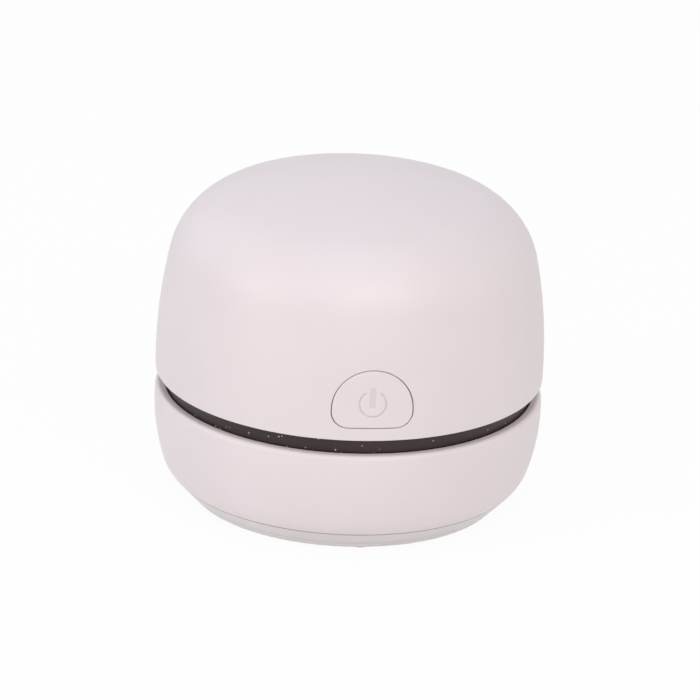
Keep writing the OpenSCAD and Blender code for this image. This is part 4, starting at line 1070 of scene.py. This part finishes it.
BOARD_TO_MOTOR_RETURN = [
    (2.6, 23.1, 37.42), (2.6, 23.1, 39.42), (1.6, 18.975, 46.42), (-4.125, 15.675, 52.0), (-9.9, 11.55, 60.0),
    (-12.4, 4.125, 64.4), (-9.85, 0.0, 64.0), (-8.25, 0.0, 64.0),
]


def build_wires(red, black):
    """Stranded wires in their insulation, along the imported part's own routes."""
    wire_radius = 0.0006
    for name, routes, slot, finish, node in (
        ("supply_wires", (CELL_TO_BOARD, BOARD_TO_SWITCH, SWITCH_TO_MOTOR), "wire_red", red, "red_wires"),
        ("return_wires", (CELL_TO_BOARD_RETURN, BOARD_TO_MOTOR_RETURN), "wire_black", black, "black_wires"),
    ):
        skin = Skin()
        for route in routes:
            skin.tube(smooth_route(route), wire_radius, sides=16)
        skin.piece(name, "power_head", slot, finish, node)


# ---- The stage ----
def soft_lamp(name, power, size, place, tint):
    """A square soft lamp, aimed at the cleaner's middle."""
    lamp = bpy.data.lights.new(name, "AREA")
    lamp.energy, lamp.size, lamp.color = power, size, linear(tint)[:3]
    made = stand(name, lamp)
    made.location = place
    made.rotation_mode = "QUATERNION"
    made.rotation_quaternion = (Vector((0.0, 0.0, MIDDLE_HEIGHT)) - made.location).to_track_quat("-Z", "Y")


def looked_at(tree):
    """1 for a ray from the camera, or one that a mirror or glass passes on from it, and 0 for all others."""
    path = add(tree, "ShaderNodeLightPath").outputs
    seen = add(tree, "ShaderNodeMath", {0: path["Is Camera Ray"], 1: path["Is Transmission Ray"]}, operation="MAXIMUM")
    shown = add(tree, "ShaderNodeMath", {0: seen.outputs["Value"], 1: path["Is Glossy Ray"]}, operation="MAXIMUM")
    return shown.outputs["Value"]


def build_floor():
    """A wide white floor that keeps a faint shadow of the cleaner."""
    material = bpy.data.materials.new("stage_paper")
    material.use_nodes = True
    tree = material.node_tree
    tree.nodes.clear()
    paper = add(tree, "ShaderNodeBsdfDiffuse", {"Color": linear("FAFAFA")})
    white = add(tree, "ShaderNodeEmission", {"Color": (1.0, 1.0, 1.0, 1.0), "Strength": 1.0})
    seen_white = 0.94  # the rest shows the cleaner's shadow
    share = add(tree, "ShaderNodeMapRange", {"Value": looked_at(tree), "To Max": seen_white})
    both = add(
        tree,
        "ShaderNodeMixShader",
        {0: share.outputs["Result"], 1: paper.outputs["BSDF"], 2: white.outputs["Emission"]},
    )
    add(tree, "ShaderNodeOutputMaterial", {"Surface": both.outputs["Shader"]})
    skin = Skin()
    skin.lathe([(reach, 0.0) for reach in (0.0, 0.2, 1.0, 4.0)], lines=96, closed=False)
    mesh = bpy.data.meshes.new("stage_floor")
    mesh.from_pydata(skin.points, [], skin.faces)
    mesh.materials.append(material)
    floor = stand("stage_floor", mesh)


def build_world(room):
    """Even light from all round. What looks at it directly or in a reflection sees white."""
    world = bpy.data.worlds.new("stage_room")
    bpy.context.scene.world = world
    world.use_nodes = True
    tree = world.node_tree
    tree.nodes.clear()
    strength = add(tree, "ShaderNodeMapRange", {"Value": looked_at(tree), "To Min": room})
    light = add(tree, "ShaderNodeBackground", {"Color": (1.0, 1.0, 1.0, 1.0), "Strength": strength.outputs["Result"]})
    add(tree, "ShaderNodeOutputWorld", {"Surface": light.outputs["Background"]})


def build_camera():
    """The photograph's view: from the front, 21 degrees above, a little to the left, and tilted 2.5 degrees."""
    azimuth, elevation, roll = math.radians(-7.4), math.radians(21.085), math.radians(2.533)
    target, distance = Vector((0.00003, 0.0, 0.03295)), 1.5
    out = Vector(
        (math.cos(elevation) * math.sin(azimuth), -math.cos(elevation) * math.cos(azimuth), math.sin(elevation))
    )
    lens = bpy.data.cameras.new("photograph_view")
    sensor, focal_pixels, picture_pixels = 36.0, 6926.9, 700
    lens.sensor_width, lens.lens = sensor, focal_pixels / picture_pixels * sensor
    lens.clip_start, lens.clip_end = 0.05, 20.0
    camera = stand("photograph_view", lens)
    camera.rotation_mode = "QUATERNION"
    camera.location = target + out * distance
    upright = (-out).to_track_quat("-Z", "Y").to_matrix()
    camera.rotation_quaternion = (upright @ Matrix.Rotation(roll, 3, "Z")).to_quaternion()
    bpy.context.scene.camera = camera


# ---- Operators ----
class VACUUM_OT_shells(bpy.types.Operator):
    """Build the dome and the bowl as smooth moulded shells, and dress the inlet's hood"""

    bl_idname = "vacuum.shells"
    bl_label = "Dome and Bowl"

    def execute(self, context):
        scene = context.scene
        finish = moulded_white_abs(scene.vacuum_colours.shell)
        build_dome(scene.vacuum_dome, scene.vacuum_button, finish)
        build_bowl(scene.vacuum_bowl, finish)
        dress(finish, "inlet_hood")
        return {"FINISHED"}


class VACUUM_OT_button(bpy.types.Operator):
    """Build the power button and dress the switch's body"""

    bl_idname = "vacuum.button"
    bl_label = "Power Button"

    def execute(self, context):
        scene = context.scene
        finish = bpy.data.materials["moulded_white_abs"]
        shaded_sunk_finish = sparked_white_abs(scene.vacuum_colours.shell)
        build_button(scene.vacuum_dome, scene.vacuum_button, finish, shaded_sunk_finish)
        dress(black_switch_nylon(), "switch_body")
        return {"FINISHED"}


class VACUUM_OT_base(bpy.types.Operator):
    """Dress the base plate, the rubber parts and the nylon parts, and build the brush"""

    bl_idname = "vacuum.base"
    bl_label = "Base and Brush"

    def execute(self, context):
        scene = context.scene
        colours = scene.vacuum_colours
        foot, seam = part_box("base_plate")[0].z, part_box("dust_bowl")[0].z
        dress(moulded_milky_abs(colours.base, foot, seam), "base_plate")
        dress(moulded_rubber(colours.rubber), "filter_gasket", "motor_damper")
        nylon = natural_nylon(colours.nylon)
        dress(nylon, "glide_pads", "impeller", "motor_end_cap", "switch_plunger")
        build_brush(scene.vacuum_brush, nylon)
        return {"FINISHED"}


class VACUUM_OT_filter(bpy.types.Operator):
    """Build the filter's felt and dress its frame and the other grey frames"""

    bl_idname = "vacuum.filter"
    bl_label = "Filter"

    def execute(self, context):
        colours = context.scene.vacuum_colours
        dress(moulded_grey_abs(colours.inner), "filter_frame", "motor_plate", "battery_cradle")
        build_filter_cloth(needled_felt(colours.felt))
        return {"FINISHED"}


class VACUUM_OT_housing(bpy.types.Operator):
    """Dress the dark fan housing that shows in the slot"""

    bl_idname = "vacuum.housing"
    bl_label = "Fan Housing"

    def execute(self, context):
        colours = context.scene.vacuum_colours
        dress(moulded_dark_abs(colours.housing, colours.dust), "fan_housing")
        return {"FINISHED"}


class VACUUM_OT_motor(bpy.types.Operator):
    """Dress the motor's metal parts, magnets and brushes, and all screws"""

    bl_idname = "vacuum.motor"
    bl_label = "Motor and Screws"

    def execute(self, context):
        copper = context.scene.vacuum_colours.copper
        dress(drawn_can_steel(), "motor_can", "motor_shaft", "armature_core")
        dress(zinc_plated_steel(), "base_screws", "housing_screws", "motor_screws", "cradle_screws", "board_screws")
        dress(pressed_ferrite(), "motor_magnets", "motor_brushes")
        dress(sintered_bronze(), "motor_bushes")
        dress(stamped_brass(), "motor_terminals")
        dress(enamelled_copper(copper), "armature_windings")
        dress(turned_copper(copper), "commutator")
        return {"FINISHED"}


class VACUUM_OT_power(bpy.types.Operator):
    """Dress the cell and its tabs, the boards, socket and lamp, and build the wires"""

    bl_idname = "vacuum.power"
    bl_label = "Cell, Boards and Wires"

    def execute(self, context):
        colours = context.scene.vacuum_colours
        dress(shrink_sleeve(colours.sleeve), "battery_cell")
        dress(solder_mask(colours.mask), "charge_board", "switch_board")
        dress(nickel_plated_sheet(), "usb_socket", "battery_tabs")
        dress(clear_acrylic(), "charge_led", "led_lens")
        build_wires(
            extruded_pvc("extruded_red_pvc", colours.red),
            extruded_pvc("extruded_black_pvc", colours.black),
        )
        return {"FINISHED"}


class VACUUM_OT_stage(bpy.types.Operator):
    """Set up the floor, the soft lamps, the even light and the photograph's camera"""

    bl_idname = "vacuum.stage"
    bl_label = "Stage"

    def execute(self, context):
        lights = context.scene.vacuum_lights
        build_camera()
        build_floor()
        build_world(lights.room)
        cool, warm = "D6E1FF", "FFF9F3"
        for side, size, place, tint in (
            ("left", 0.35, (-0.93, -0.38, 0.44), warm),
            ("front_left", 0.7, (-0.55, -0.75, 0.85), cool),
            ("front", 0.8, (0.15, -0.9, 0.8), warm),
            ("right", 0.7, (1.0, -0.35, 0.4), warm),
            ("overhead", 0.9, (0.0, 0.1, 1.2), cool),
            ("rear", 0.7, (-0.85, 0.75, 0.5), cool),
        ):
            soft_lamp(f"{side}_lamp", getattr(lights, side), size, place, tint)
        context.scene.view_settings.view_transform = "Standard"
        return {"FINISHED"}


class VACUUM_PT_build(bpy.types.Panel):
    """Lists the steps that dress the cleaner"""

    bl_idname = "VACUUM_PT_build"
    bl_label = "Mini Vacuum"
    bl_space_type = "VIEW_3D"
    bl_region_type = "UI"
    bl_category = "Mini Vacuum"

    def draw(self, context):
        column = self.layout.column(align=True)
        for operator in OPERATORS:
            column.operator(operator.bl_idname)


OPERATORS = (
    VACUUM_OT_shells,
    VACUUM_OT_button,
    VACUUM_OT_base,
    VACUUM_OT_filter,
    VACUUM_OT_housing,
    VACUUM_OT_motor,
    VACUUM_OT_power,
    VACUUM_OT_stage,
)
SETTINGS = {
    "vacuum_dome": DomeSizes,
    "vacuum_bowl": BowlSizes,
    "vacuum_button": ButtonSizes,
    "vacuum_brush": BrushSizes,
    "vacuum_colours": FinishColours,
    "vacuum_lights": StageLights,
}


def register():
    """Makes the settings, operators and panel known."""
    for name, group in SETTINGS.items():
        bpy.utils.register_class(group)
        setattr(bpy.types.Scene, name, PointerProperty(type=group))
    for kind in OPERATORS + (VACUUM_PT_build,):
        bpy.utils.register_class(kind)


def unregister():
    """Takes away what register made known."""
    for kind in reversed(OPERATORS + (VACUUM_PT_build,)):
        bpy.utils.unregister_class(kind)
    for name, group in SETTINGS.items():
        delattr(bpy.types.Scene, name)
        bpy.utils.unregister_class(group)


def main():
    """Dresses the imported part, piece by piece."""
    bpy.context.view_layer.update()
    register()
    bpy.ops.vacuum.shells()
    bpy.ops.vacuum.button()
    bpy.ops.vacuum.base()
    bpy.ops.vacuum.filter()
    bpy.ops.vacuum.housing()
    bpy.ops.vacuum.motor()
    bpy.ops.vacuum.power()
    bpy.ops.vacuum.stage()
    bpy.context.view_layer.update()


if __name__ == "__main__":
    main()
